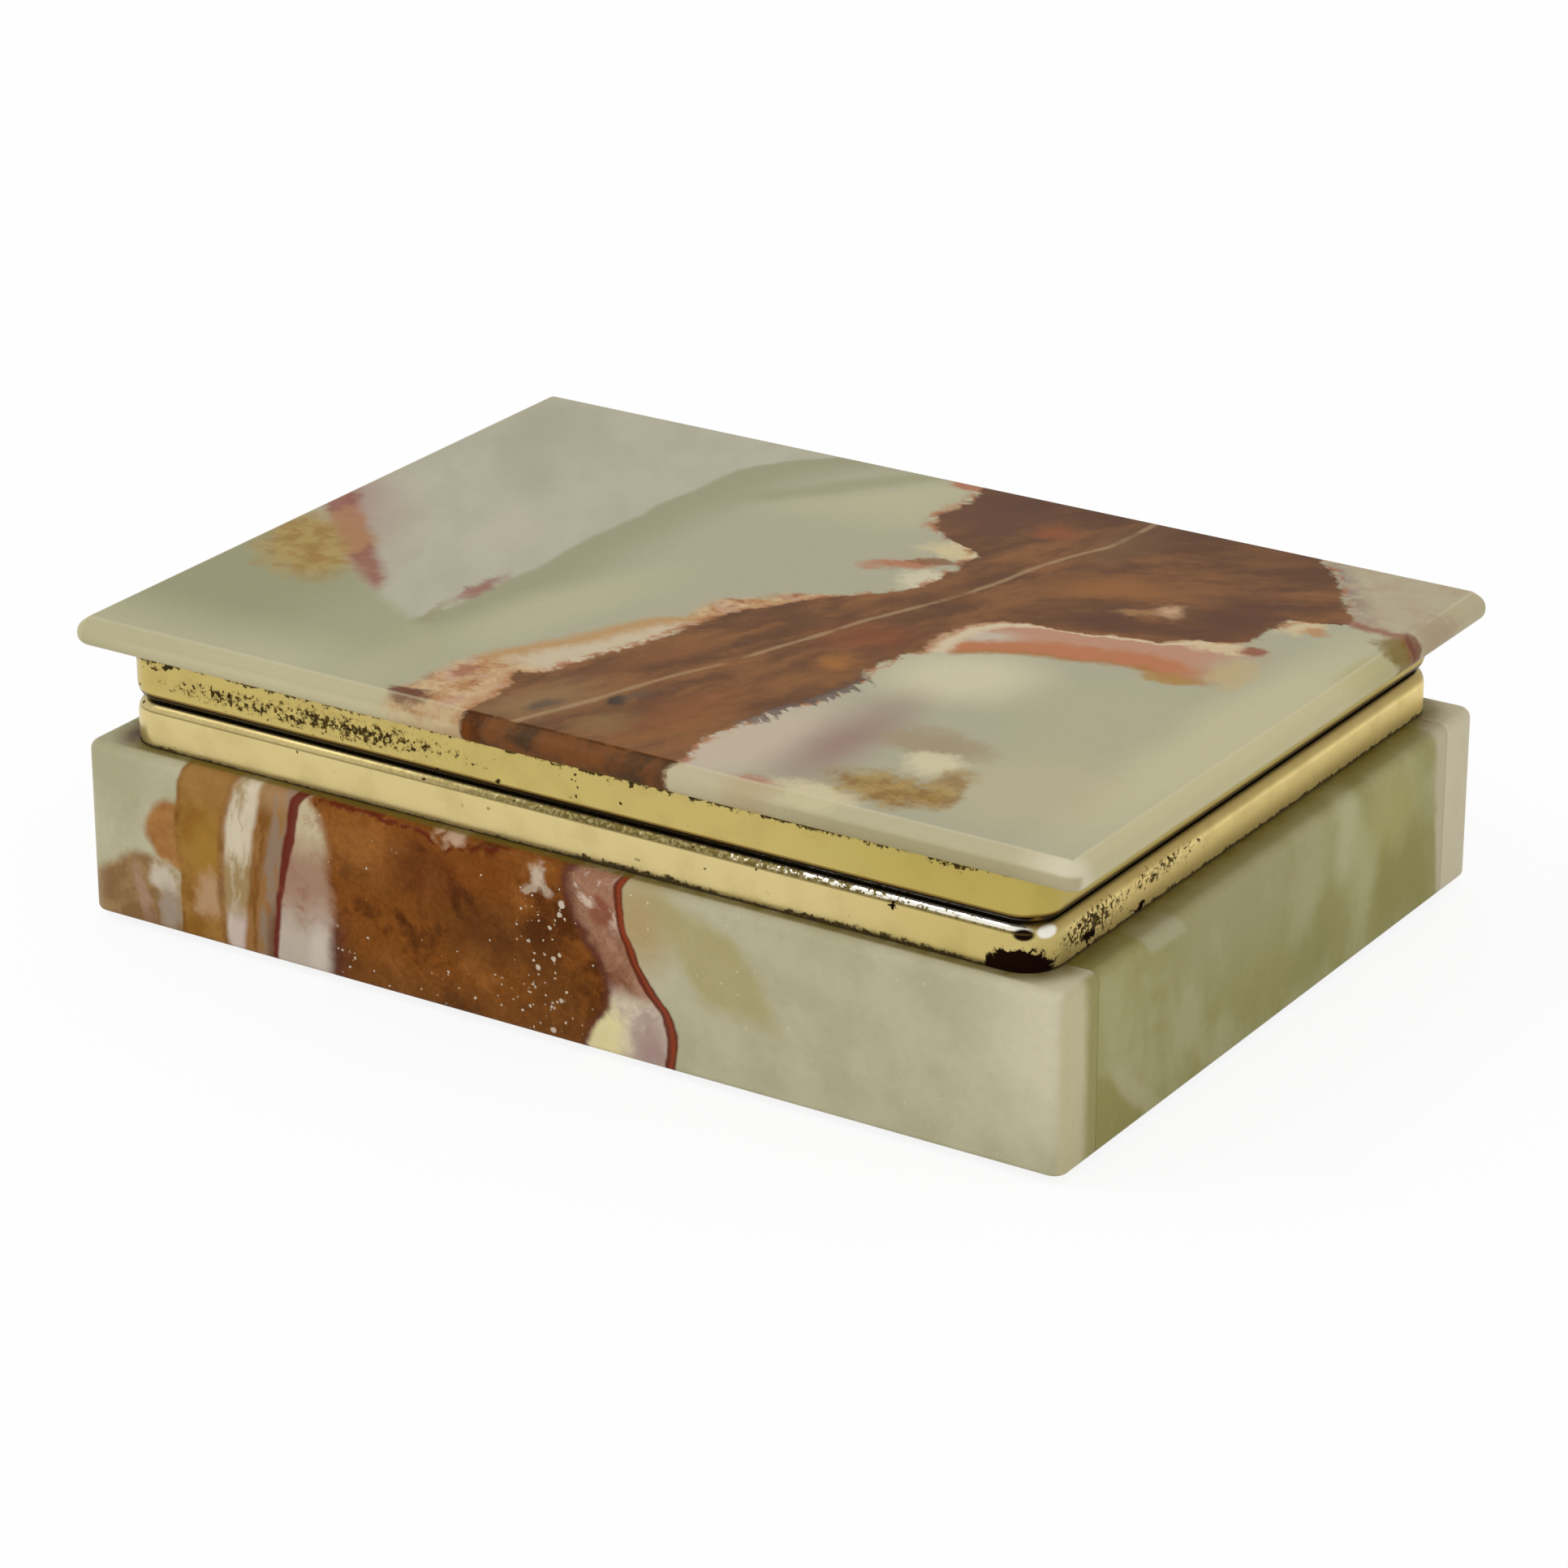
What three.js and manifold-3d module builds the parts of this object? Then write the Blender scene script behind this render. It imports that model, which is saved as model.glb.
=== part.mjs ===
// A stone cigarette box: onyx slabs glued into a base, an onyx lid slab, and a brass frame on each,
// hinged along the rear seam by a row of brass tubes on one pin.
// Millimetres, +Z up, +X along the front, +Y towards the hinge.
// The origin is on the table, under the middle of the box.
import * as THREE from "three";
import { mergeVertices } from "three/addons/utils/BufferGeometryUtils.js";
import Module from "manifold-3d";

const wasm = await Module();
wasm.setup();

// Stone base: four walls round a floor
const baseLength = 160;
const baseDepth = 118;
const baseHeight = 26.2;
const wallThickness = 9;
const floorThickness = 6;
const baseCornerRadius = 2.2; // upright edges
const baseTopRound = 1.5;
const baseBottomRound = 0.9;

// Stone lid
const lidOverhangSide = 6.7; // past the frame under it
const lidOverhangFront = 2.7;
const lidThickness = 4.1;
const lidCornerRadius = 2.5; // upright edges
const lidChamferWidth = 2; // top edges, measured inwards
const lidChamferDrop = 1.5; // top edges, measured downwards
const lidBottomRound = 0.9;

// Brass frames: channels of sheet, open towards the stone and rounded towards the seam
const rimInsetSide = 5; // from the sides of the base
const rimInsetFront = 2.8; // from the front and back of the base
const baseRimHeight = 6.4;
const lidRimHeight = 7.2;
const rimCornerRadius = 5.5;
const rimMouthRadius = 2;
const sheetThickness = 1;
const shoulderWidth = 1.5;
const shoulderHeight = 2.2;
const seamGap = 0.3;

// Hinge: tubes soldered into a groove across the rear seam, in turn to the base frame and the lid frame
const knuckleCount = 7;
const hingeMargin = 14.6; // from the ends of the frames to the outer tubes
const knuckleDiameter = 3.2;
const knuckleGap = 0.3; // between the ends of neighbouring tubes
const pinDiameter = 1.5;
const pinClearance = 0.1; // on the radius
const pinEnd = 0.6; // past the outer tubes
const pinEndRound = 0.25;
const grooveClearance = 0.3; // solder and running gap round the tubes
const grooveEndGap = 0.4;
const hingeInset = 0.9; // from the rear faces of the frames to the hinge axis
const bearerThickness = 1; // metal left behind the groove

// Felt pads under the base
const padDiameter = 12;
const padThickness = 1;
const padMargin = 3; // from the inner faces of the walls to the edge of a pad

// Thin layer of glue between stone and stone, and between stone and brass
const glueLine = 0.1;

// Facets of round forms
const cornerSteps = 6;
const edgeSteps = 4;
const chamferSteps = 1; // a flat facet
const tubeSides = 32;
const padSides = 40;

// A rounded edge takes at most this share of the corner radius beside it
const roundShare = 0.9;

// Sizes and places that follow
const rimLength = baseLength - 2 * rimInsetSide;
const rimDepth = baseDepth - 2 * rimInsetFront;
const lidLength = rimLength + 2 * lidOverhangSide;
const lidDepth = rimDepth + 2 * lidOverhangFront;
const baseRimFoot = baseHeight + glueLine;
const seamHeight = padThickness + baseRimFoot + baseRimHeight + seamGap / 2;
const hingeY = rimDepth / 2 - hingeInset;
const mouthLength = baseLength - 2 * wallThickness;
const mouthDepth = baseDepth - 2 * wallThickness;
const hingeLength = rimLength - 2 * hingeMargin;
const knucklePitch = (hingeLength + knuckleGap) / knuckleCount;
const knuckleLength = knucklePitch - knuckleGap;
const pinLength = hingeLength + 2 * pinEnd;
const grooveRadius = knuckleDiameter / 2 + grooveClearance;
const grooveLength = pinLength + 2 * grooveEndGap;
const padInset = padMargin + padDiameter / 2;

// A closed geometry as a solid that can be joined and cut
function solid(geometry) {
  geometry.deleteAttribute("normal");
  geometry.deleteAttribute("uv");
  const merged = mergeVertices(geometry);
  const mesh = new wasm.Mesh({
    numProp: 3,
    vertProperties: merged.attributes.position.array,
    triVerts: new Uint32Array(merged.index.array),
  });
  return new wasm.Manifold(mesh);
}

// The geometry of a solid
function geometryOf(body) {
  const mesh = body.getMesh();
  const geometry = new THREE.BufferGeometry();
  geometry.setAttribute("position", new THREE.BufferAttribute(mesh.vertProperties, 3));
  geometry.setIndex(new THREE.BufferAttribute(mesh.triVerts, 1));
  geometry.computeVertexNormals();
  return geometry;
}

// A box between two corners
function cuboid(low, high) {
  const size = high.map((value, axis) => value - low[axis]);
  const middle = high.map((value, axis) => (value + low[axis]) / 2);
  return solid(new THREE.BoxGeometry(...size).translate(...middle));
}

// Outline of a rectangle with round corners, about the origin
function roundedRectangle(length, depth, radius) {
  const points = [];
  const corners = [
    [1, -1],
    [1, 1],
    [-1, 1],
    [-1, -1],
  ];
  corners.forEach(([sideX, sideY], quarter) => {
    for (let step = 0; step <= cornerSteps; step += 1) {
      const angle = (Math.PI / 2) * (quarter - 1 + step / cornerSteps);
      const x = sideX * (length / 2 - radius) + radius * Math.cos(angle);
      const y = sideY * (depth / 2 - radius) + radius * Math.sin(angle);
      points.push(new THREE.Vector2(x, y));
    }
  });
  return new THREE.Shape(points);
}

// An upright block from bottom to top, its top and bottom edges rounded off as quarter ellipses,
// or cut to a facet if that takes one step
function block(length, depth, radius, bottom, top, edgeWidth = 0, edgeHeight = 0, steps = edgeSteps) {
  const outline = roundedRectangle(length, depth, radius);
  const width = Math.min(edgeWidth, roundShare * radius);
  const geometry = new THREE.ExtrudeGeometry(outline, {
    depth: top - bottom - 2 * edgeHeight,
    bevelEnabled: width > 0,
    bevelSize: width,
    bevelOffset: -width,
    bevelThickness: edgeHeight,
    bevelSegments: steps,
  });
  return solid(geometry.translate(0, 0, bottom + edgeHeight));
}

// A round bar along X through the point (0, y, z)
function barAlongX(radius, length, y, z) {
  const geometry = new THREE.CylinderGeometry(radius, radius, length, tubeSides);
  return solid(geometry.rotateZ(Math.PI / 2).translate(0, y, z));
}

// The whole base as one ground and polished block, from which each slab takes its share
function baseBlock() {
  const topEdge = [baseTopRound, baseTopRound];
  const bottomEdge = [baseBottomRound, baseBottomRound];
  const outline = [baseLength, baseDepth, baseCornerRadius];
  const roundTop = block(...outline, -baseHeight, baseHeight, ...topEdge);
  const roundBottom = block(...outline, 0, 2 * baseHeight, ...bottomEdge);
  return roundTop.intersect(roundBottom);
}

// One wall of the base: the share of the block inside a box
function baseWall(whole, low, high) {
  return geometryOf(whole.intersect(cuboid(low, high)));
}

function floorSlab() {
  const length = mouthLength - 2 * glueLine;
  const depth = mouthDepth - 2 * glueLine;
  return new THREE.BoxGeometry(length, depth, floorThickness);
}

function lidSlab() {
  const topEdge = [lidChamferWidth, lidChamferDrop, chamferSteps];
  const bottomEdge = [lidBottomRound, lidBottomRound];
  const outline = [lidLength, lidDepth, lidCornerRadius];
  const chamfered = block(...outline, -lidThickness, lidThickness, ...topEdge);
  const roundBottom = block(...outline, 0, 2 * lidThickness, ...bottomEdge);
  return geometryOf(chamfered.intersect(roundBottom));
}

// A brass frame that stands on z = 0 with its shoulder and its half of the hinge groove at z = height
function rim(height) {
  const shoulder = [shoulderWidth, shoulderHeight];
  const skin = block(rimLength, rimDepth, rimCornerRadius, -height, height, ...shoulder);
  const hollow = block(
    rimLength - 2 * sheetThickness,
    rimDepth - 2 * sheetThickness,
    rimCornerRadius - sheetThickness,
    -2 * height,
    height - sheetThickness,
    ...shoulder,
  );
  const liner = block(
    mouthLength + 2 * sheetThickness,
    mouthDepth + 2 * sheetThickness,
    rimMouthRadius + sheetThickness,
    -2 * height,
    2 * height,
  );
  const mouth = block(mouthLength, mouthDepth, rimMouthRadius, -2 * height, 2 * height);
  const axisHeight = height + seamGap / 2;
  const bearerReach = grooveRadius + bearerThickness;
  const bearer = cuboid(
    [-grooveLength / 2 - bearerThickness, hingeY - bearerReach, axisHeight - bearerReach],
    [grooveLength / 2 + bearerThickness, rimDepth / 2, height],
  );
  const channel = hollow.subtract(liner).subtract(bearer);
  const groove = barAlongX(grooveRadius, grooveLength, hingeY, axisHeight);
  const below = cuboid([-rimLength, -rimDepth, -2 * height], [rimLength, rimDepth, 0]);
  return skin.subtract(below).subtract(channel).subtract(mouth).subtract(groove);
}

function baseRim() {
  return geometryOf(rim(baseRimHeight));
}

// The same frame upside down, with its shoulder and groove on its lower side, at z = 0
function lidRim() {
  const upright = geometryOf(rim(lidRimHeight));
  return upright.translate(0, 0, -lidRimHeight).rotateY(Math.PI);
}

// A short tube along X, about the origin
function knuckle() {
  const bore = pinDiameter / 2 + pinClearance;
  const outer = knuckleDiameter / 2;
  const end = knuckleLength / 2;
  const profile = [
    new THREE.Vector2(bore, -end),
    new THREE.Vector2(outer, -end),
    new THREE.Vector2(outer, end),
    new THREE.Vector2(bore, end),
    new THREE.Vector2(bore, -end),
  ];
  return new THREE.LatheGeometry(profile, tubeSides).rotateZ(Math.PI / 2);
}

// The hinge pin along X, with its ends filed round
function hingePin() {
  const radius = pinDiameter / 2;
  const end = pinLength / 2;
  const profile = [
    new THREE.Vector2(0, -end),
    new THREE.Vector2(radius - pinEndRound, -end),
    new THREE.Vector2(radius, -end + pinEndRound),
    new THREE.Vector2(radius, end - pinEndRound),
    new THREE.Vector2(radius - pinEndRound, end),
    new THREE.Vector2(0, end),
  ];
  return new THREE.LatheGeometry(profile, tubeSides).rotateZ(Math.PI / 2);
}

function feltPad() {
  const radius = padDiameter / 2;
  return new THREE.CylinderGeometry(radius, radius, padThickness, padSides).rotateX(Math.PI / 2);
}

function onyx(color) {
  return new THREE.MeshStandardMaterial({ color, roughness: 0.25, metalness: 0 });
}

function brass() {
  return new THREE.MeshStandardMaterial({ color: 0xc9b36a, roughness: 0.2, metalness: 1 });
}

function felt() {
  return new THREE.MeshStandardMaterial({ color: 0x2f4a35, roughness: 0.95, metalness: 0 });
}

function place(group, name, geometry, material, x = 0, y = 0, z = 0) {
  const mesh = new THREE.Mesh(geometry, material);
  mesh.name = name;
  mesh.position.set(x, y, z);
  group.add(mesh);
}

// The base group stands on the pads
const base = new THREE.Group();
base.position.z = padThickness;

// Front and back slabs run the full length, and the side slabs fit between them
const whole = baseBlock();
const farX = baseLength / 2;
const farY = baseDepth / 2;
const innerX = mouthLength / 2;
const innerY = mouthDepth / 2;
const sideY = innerY - glueLine;
const frontWall = baseWall(whole, [-farX, -farY, 0], [farX, -innerY, baseHeight]);
const backWall = baseWall(whole, [-farX, innerY, 0], [farX, farY, baseHeight]);
const leftWall = baseWall(whole, [-farX, -sideY, 0], [-innerX, sideY, baseHeight]);
const rightWall = baseWall(whole, [innerX, -sideY, 0], [farX, sideY, baseHeight]);
place(base, "base_front_wall", frontWall, onyx(0xb48a5c));
place(base, "base_back_wall", backWall, onyx(0xbdb8a0));
place(base, "base_left_wall", leftWall, onyx(0xa3a47c));
place(base, "base_right_wall", rightWall, onyx(0xa3a47c));
place(base, "base_floor", floorSlab(), onyx(0xb7b394), 0, 0, floorThickness / 2);
place(base, "base_rim", baseRim(), brass(), 0, 0, baseRimFoot);

// The lid group turns about the hinge axis
const lid = new THREE.Group();
lid.position.set(0, hingeY, seamHeight);
const lidSlabFoot = seamGap / 2 + lidRimHeight + glueLine;
place(lid, "lid_rim", lidRim(), brass(), 0, -hingeY, seamGap / 2);
place(lid, "lid_slab", lidSlab(), onyx(0xb5b096), 0, -hingeY, lidSlabFoot);

// Odd knuckles belong to the base frame, even ones to the lid frame
const hinge = new THREE.Group();
hinge.position.copy(lid.position);
place(hinge, "hinge_pin", hingePin(), brass());
for (let count = 1; count <= knuckleCount; count += 1) {
  const x = (count - (knuckleCount + 1) / 2) * knucklePitch;
  const name = `hinge_knuckle_${count}`;
  if (count % 2 === 1) {
    place(hinge, name, knuckle(), brass(), x);
  } else {
    place(lid, name, knuckle(), brass(), x);
  }
}

const pads = new THREE.Group();
pads.position.z = padThickness / 2;
for (const [rowName, rowSide] of [["front", -1], ["back", 1]]) {
  for (const [endName, endSide] of [["left", -1], ["right", 1]]) {
    const x = endSide * (innerX - padInset);
    const y = rowSide * (innerY - padInset);
    place(pads, `felt_pad_${rowName}_${endName}`, feltPad(), felt(), x, y);
  }
}

const cigaretteBox = new THREE.Group();
cigaretteBox.name = "cigarette_box";
cigaretteBox.add(base, lid, hinge, pads);

export default cigaretteBox;
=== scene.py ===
import math

import bmesh
import bpy
from mathutils import Matrix, Vector


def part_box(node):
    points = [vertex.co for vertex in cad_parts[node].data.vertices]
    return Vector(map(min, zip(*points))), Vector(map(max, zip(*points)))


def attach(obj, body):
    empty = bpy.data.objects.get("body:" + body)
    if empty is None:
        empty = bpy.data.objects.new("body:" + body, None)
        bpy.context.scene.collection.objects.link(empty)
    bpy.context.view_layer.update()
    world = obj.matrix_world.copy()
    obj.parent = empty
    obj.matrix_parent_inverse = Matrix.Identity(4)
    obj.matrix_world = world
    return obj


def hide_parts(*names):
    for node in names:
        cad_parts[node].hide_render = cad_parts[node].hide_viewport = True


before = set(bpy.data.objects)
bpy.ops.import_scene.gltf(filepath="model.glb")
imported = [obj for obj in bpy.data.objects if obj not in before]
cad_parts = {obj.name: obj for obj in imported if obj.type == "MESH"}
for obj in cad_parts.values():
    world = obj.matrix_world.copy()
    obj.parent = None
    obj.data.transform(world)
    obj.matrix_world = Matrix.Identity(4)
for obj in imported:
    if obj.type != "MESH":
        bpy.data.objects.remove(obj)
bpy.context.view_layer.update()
scene = bpy.context.scene
scene.view_settings.view_transform = "Standard"
toMetres = 0.001  # pieces are drawn in millimetres
tiny = 1e-4  # points closer than this are one
sharpAngle = math.radians(32)  # edges that bend more stay crisp
print("frame loaded:", len(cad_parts), "nodes")


def boxOf(node):  # low and high corners of a CAD node, in millimetres
    low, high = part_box(node)
    return low / toMetres, high / toMetres


rimLow, rimHigh = boxOf("base_rim")
lidRimLow, lidRimHigh = boxOf("lid_rim")


# One value or colour in a material. Sums on it add Math nodes.
class Wire:
    def __init__(self, tree, socket=None):
        self.tree = tree
        self.socket = socket

    def node(self, kind, settings=None, inputs=None, out=0):
        made = self.tree.nodes.new(kind)
        for name, value in (settings or {}).items():
            if name == "points":
                line = made.mapping.curves[0]
                for extra in value[2:]:
                    line.points.new(*extra)
                for point, place in zip(line.points, sorted(value)):
                    point.location = place
                    point.handle_type = "AUTO_CLAMPED"
                made.mapping.update()
            else:
                setattr(made, name, value)
        for name, value in (inputs or {}).items():
            if isinstance(value, Wire):
                self.tree.links.new(value.socket, made.inputs[name])
            else:
                made.inputs[name].default_value = value
        return Wire(self.tree, made.outputs[out])

    def other(self, out):  # another output of the same node
        return Wire(self.tree, self.socket.node.outputs[out])

    def sum(self, operation, *values):
        return self.node("ShaderNodeMath", {"operation": operation}, dict(enumerate(values)))

    def __add__(self, value):
        return self.sum("ADD", self, value)

    def __radd__(self, value):
        return self.sum("ADD", value, self)

    def __sub__(self, value):
        return self.sum("SUBTRACT", self, value)

    def __rsub__(self, value):
        return self.sum("SUBTRACT", value, self)

    def __mul__(self, value):
        return self.sum("MULTIPLY", self, value)

    def __rmul__(self, value):
        return self.sum("MULTIPLY", value, self)

    def __truediv__(self, value):
        return self.sum("DIVIDE", self, value)

    def __abs__(self):
        return self.sum("ABSOLUTE", self)


def tint(red, green, blue):  # a colour as it looks on a screen, 0 to 255
    levels = [value / 255 for value in (red, green, blue)]
    return tuple(((level + 0.055) / 1.055) ** 2.4 for level in levels) + (1.0,)


def smaller(first, second):
    return first.sum("MINIMUM", first, second)


def larger(first, *others):
    for other in others:
        first = first.sum("MAXIMUM", first, other)
    return first


def soft(value, start, end):  # 0 before start, 1 after end
    return value.node(
        "ShaderNodeMapRange",
        {"interpolation_type": "SMOOTHSTEP"},
        {"Value": value, "From Min": start, "From Max": end},
    )


def lay(under, over, mask):  # one colour over another
    inputs = {0: mask, 6: under, 7: over}
    return mask.node("ShaderNodeMix", {"data_type": "RGBA"}, inputs, out=2)


def dim(colour, amount):  # a colour made darker or lighter
    return amount.node("ShaderNodeVectorMath", {"operation": "SCALE"}, {0: colour, "Scale": amount})


def placeOf(wire):  # where a point of the piece is, in millimetres
    place = wire.node("ShaderNodeTexCoord", out="Object")
    return place.node("ShaderNodeVectorMath", {"operation": "SCALE"}, {0: place, "Scale": 1000.0})


def parts(place):
    first = place.node("ShaderNodeSeparateXYZ", inputs={0: place})
    return first, first.other(1), first.other(2)


def joined(across, up, depth=0.0):
    return across.node("ShaderNodeCombineXYZ", inputs={0: across, 1: up, 2: depth})


def streaks(place, sizes, turn=(0, 0, 0), detail=3.0, rough=0.55):  # noise drawn out along turned axes
    inputs = {"Vector": place, "Scale": sizes, "Rotation": turn}
    local = place.node("ShaderNodeMapping", {"vector_type": "TEXTURE"}, inputs)
    return cloud(local, 1.0, detail, rough)


def cloud(place, size, detail=3.0, rough=0.55):  # noise about 0.5, with forms of a size in millimetres
    inputs = {"Vector": place, "Scale": 1 / size, "Detail": detail, "Roughness": rough}
    return place.node("ShaderNodeTexNoise", {}, inputs)


def stirred(place, size, amount, detail=3.0):  # places pushed about by noise
    push = cloud(place, size, detail).other("Color")
    push = push.node("ShaderNodeVectorMath", {"operation": "SUBTRACT"}, {0: push, 1: (0.5, 0.5, 0.5)})
    inputs = {0: push, 1: (amount, amount, amount), 2: place}
    return push.node("ShaderNodeVectorMath", {"operation": "MULTIPLY_ADD"}, inputs)


def patch(flat, centre, radii, turn=0, fade=(1.25, 0.7)):  # a soft spot on a face, or a soft ball
    inputs = {
        "Vector": flat,
        "Location": (*centre, 0)[:3],
        "Rotation": (0, 0, math.radians(turn)),
        "Scale": (*radii, 1)[:3],
    }
    local = flat.node("ShaderNodeMapping", {"vector_type": "TEXTURE"}, inputs)
    far = local.node("ShaderNodeVectorMath", {"operation": "LENGTH"}, {0: local}, out="Value")
    return soft(far, *fade)


def dots(place, size, radius, shown):  # round specks, one at most in each cell of a size in millimetres
    inputs = {"Vector": place, "Scale": 1 / size, "Randomness": 1.0}
    far = place.node("ShaderNodeTexVoronoi", {}, inputs, out="Distance")
    colour = far.other("Color")
    chance = colour.node("ShaderNodeSeparateColor", {}, {0: colour})
    reach = (0.35 + chance.other(1) * 0.65) * (radius / size)
    mask = soft(far - reach, 0.25 * radius / size, -0.15 * radius / size)
    return mask * soft(shown - chance, -0.02, 0.02)


def course(along, points, span, reach=(-90.0, 90.0)):  # a line over a face, set by listed points
    low, high = span
    floor, top = reach
    share = (along - low) / (high - low)
    settled = [((at - low) / (high - low), (value - floor) / (top - floor)) for at, value in points]
    line = share.node("ShaderNodeFloatCurve", {"points": settled}, {"Factor": 1.0, "Value": share})
    return line * (top - floor) + floor


def newLook(name):
    look = bpy.data.materials.new(name)
    look.use_nodes = True
    look.node_tree.nodes.clear()
    return look, Wire(look.node_tree)


def finishLook(wire, shader):
    end = wire.tree.nodes.new("ShaderNodeOutputMaterial")
    wire.tree.links.new(shader.socket, end.inputs["Surface"])


def surface(wire, inputs):
    finishLook(wire, wire.node("ShaderNodeBsdfPrincipled", {}, inputs, out="BSDF"))


def bumped(height, strength, distance):
    inputs = {"Height": height, "Strength": strength, "Distance": distance * toMetres}
    return height.node("ShaderNodeBump", {}, inputs, out="Normal")


# All onyx has the same soft polish
onyxPolish = {"index": 1.09, "rough": 0.24, "roughMottle": 0.14, "bump": 0.15, "bumpDepth": 0.1}


def polishedStone(wire, place, colour, mottle, relief):
    height = cloud(place, 14.0, 1.0) * 0.6 - relief
    surface(wire, {
        "Base Color": colour,
        "Roughness": onyxPolish["rough"] + mottle * onyxPolish["roughMottle"],
        "Normal": bumped(height, onyxPolish["bump"], onyxPolish["bumpDepth"]),
        "IOR": onyxPolish["index"],
    })


frameCorner = 5.5  # radius of the upright corners of the brass frames


def besideFrame(place, colour):  # painted shade and painted reflection of the brass on the ledge, close to the frame, darker brown towards the left end
    x, y, z = parts(place)
    aside = larger(abs(x) - (rimHigh.x - frameCorner), 0.0)
    ahead = larger(abs(y) - (rimHigh.y - frameCorner), 0.0)
    square = aside * aside + ahead * ahead
    away = square.sum("SQRT", square) - frameCorner
    near = soft(away, 4.6, 0.2) * soft(away, -0.6, -0.2) * soft(z, 26.6, 27.1)
    near = near * soft(abs(y), 58.0, 57.3) * soft(abs(x), 79.6, 78.6)
    # painted shade: olive by the frame, darker brown towards the left end
    shade = lay(tint(106, 92, 36), tint(72, 36, 22), soft(x, -72.0, -75.0))
    return lay(colour, shade, near * (0.55 + cloud(place, 3.0, 4.0) * 0.6))


def toned(colour, gains):  # a colour with its red, green and blue turned up or down
    wire = Wire(colour.tree)
    return wire.node("ShaderNodeVectorMath", {"operation": "MULTIPLY"}, {0: colour, 1: gains})


def spotter(flat, lumps, grain):  # gives a function that lays spots with broken borders
    def spot(colour, tone, centre, radii, turn=0, share=0.9, blur=0.2):
        reach = patch(flat, centre, radii, turn, (1.6, 0.0))
        mask = soft(reach + (lumps - 0.5) * 0.7 + (grain - 0.5) * 0.6, 0.42 - blur, 0.42 + blur)
        return lay(colour, tone, mask * soft(reach, 0.02, 0.3) * share)
    return spot


def mottled(colour, grain, amount):  # lighter and darker grain in a colour
    return dim(colour, (grain - 0.5) * amount + 1.0)


# Onyx of the lid, seen from above: across is x and along is y
lidOnyx = {
    "span": (-62.0, 62.0),
    "wide": (-85.0, 85.0),
    "flatAcross": 79.7,  # where the flat ends and the bevel starts
    "flatAlong": 56.9,
    "brownLeft": [
        (-62, -14.5), (-55, -14.5), (-50, -14), (-45, -15.5), (-42.5, -17), (-40, -13.5), (-35, -12),
        (-30, -10), (-25, -8.5), (-20, -7), (-14, -6.5), (-10, -5), (-7, -4), (-3, -1.5), (0, 0),
        (4, 2.5), (7, 5), (10, 8.5), (14, 11.5), (17, 13), (20, 13.5), (27, 13), (30, 13.5), (32, 12),
        (34, 8), (36, 4), (40, 1), (45, -0.3), (50, 0.5), (55, -0.5), (62, -1),
    ],
    "brownRight": [
        (-62, 19.5), (-55, 19.5), (-50, 18), (-45, 18.5), (-40, 19.5), (-35, 21), (-30, 22.5), (-25, 24),
        (-20, 24.5), (-15, 23), (-10, 24), (-5, 25.5), (0, 25), (4, 25.5), (7, 26.5), (9, 28), (11, 31),
        (12, 36), (13, 42), (14, 46), (15.5, 51), (18, 55), (20, 60), (25, 62.5), (30, 63),
        (33, 64), (34.5, 69), (36, 71), (40, 68), (45, 65), (50, 61), (55, 57), (62, 52),
    ],
    "haloLeft": [
        (-62, -27), (-55, -26.5), (-50, -25.5), (-45, -25.5), (-40, -25), (-35, -22.5), (-30, -19.5),
        (-25, -17), (-20, -15), (-14, -12), (-11, -8.5), (-7, -9), (-3, -8), (0, -3), (3, -2.5),
        (6, 2), (8, 6.5), (12, 12), (62, 15),
    ],
    "creamLine": [
        (-62, -8), (-55, -6), (-50, -4), (-45, -2.2), (-40, -0.7), (-35, 1), (-30, 2.8), (-25, 5),
        (-20, 6.8), (-15, 8.3), (-10, 10), (-5, 11.5), (0, 13), (5, 15), (10, 17), (15, 18.8),
        (20, 20.3), (25, 21.5), (30, 22.3), (35, 23.6), (40, 25.3), (45, 27.3), (50, 27.8), (62, 28.5),
    ],
    "greenEdge": [
        (-62, -41), (-30, -40), (-20, -38.6), (-10, -38), (0, -38), (10, -38.3), (20, -38.6), (30, -38),
        (36, -37), (41, -36), (46, -34.4), (51, -31.5), (56, -27), (62, -21),
    ],
    "secondBand": [(-62, -32), (28, -31), (34, -28.5), (40, -24.5), (46, -19.5), (52, -14), (62, -5)],
    "lowGreen": [
        (-85, -3), (-79, -6), (-72, -12), (-66, -17.5), (-60, -22), (-55, -25), (-50, -27.5), (-45, -29.5),
        (-40, -32), (-36, -34), (-31, -38), (-26, -44), (-20, -58), (85, -62),
    ],
    "underArm": [
        (-85, -12), (23, -8), (26, -5.5), (30, -3.5), (34, -1), (38, 0.6), (44, 2.3), (50, 3.8), (55, 5),
        (60, 3.5), (64, 4.5), (68, 8), (85, 12),
    ],
    "leftVein": [
        (-85, 8), (-80, 2), (-76, -2.5), (-72, -6.5), (-68, -10.5), (-64, -14.5), (-60, -18), (-56, -21.5),
        (-52, -25), (-46, -30), (85, -40),
    ],
}


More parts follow.
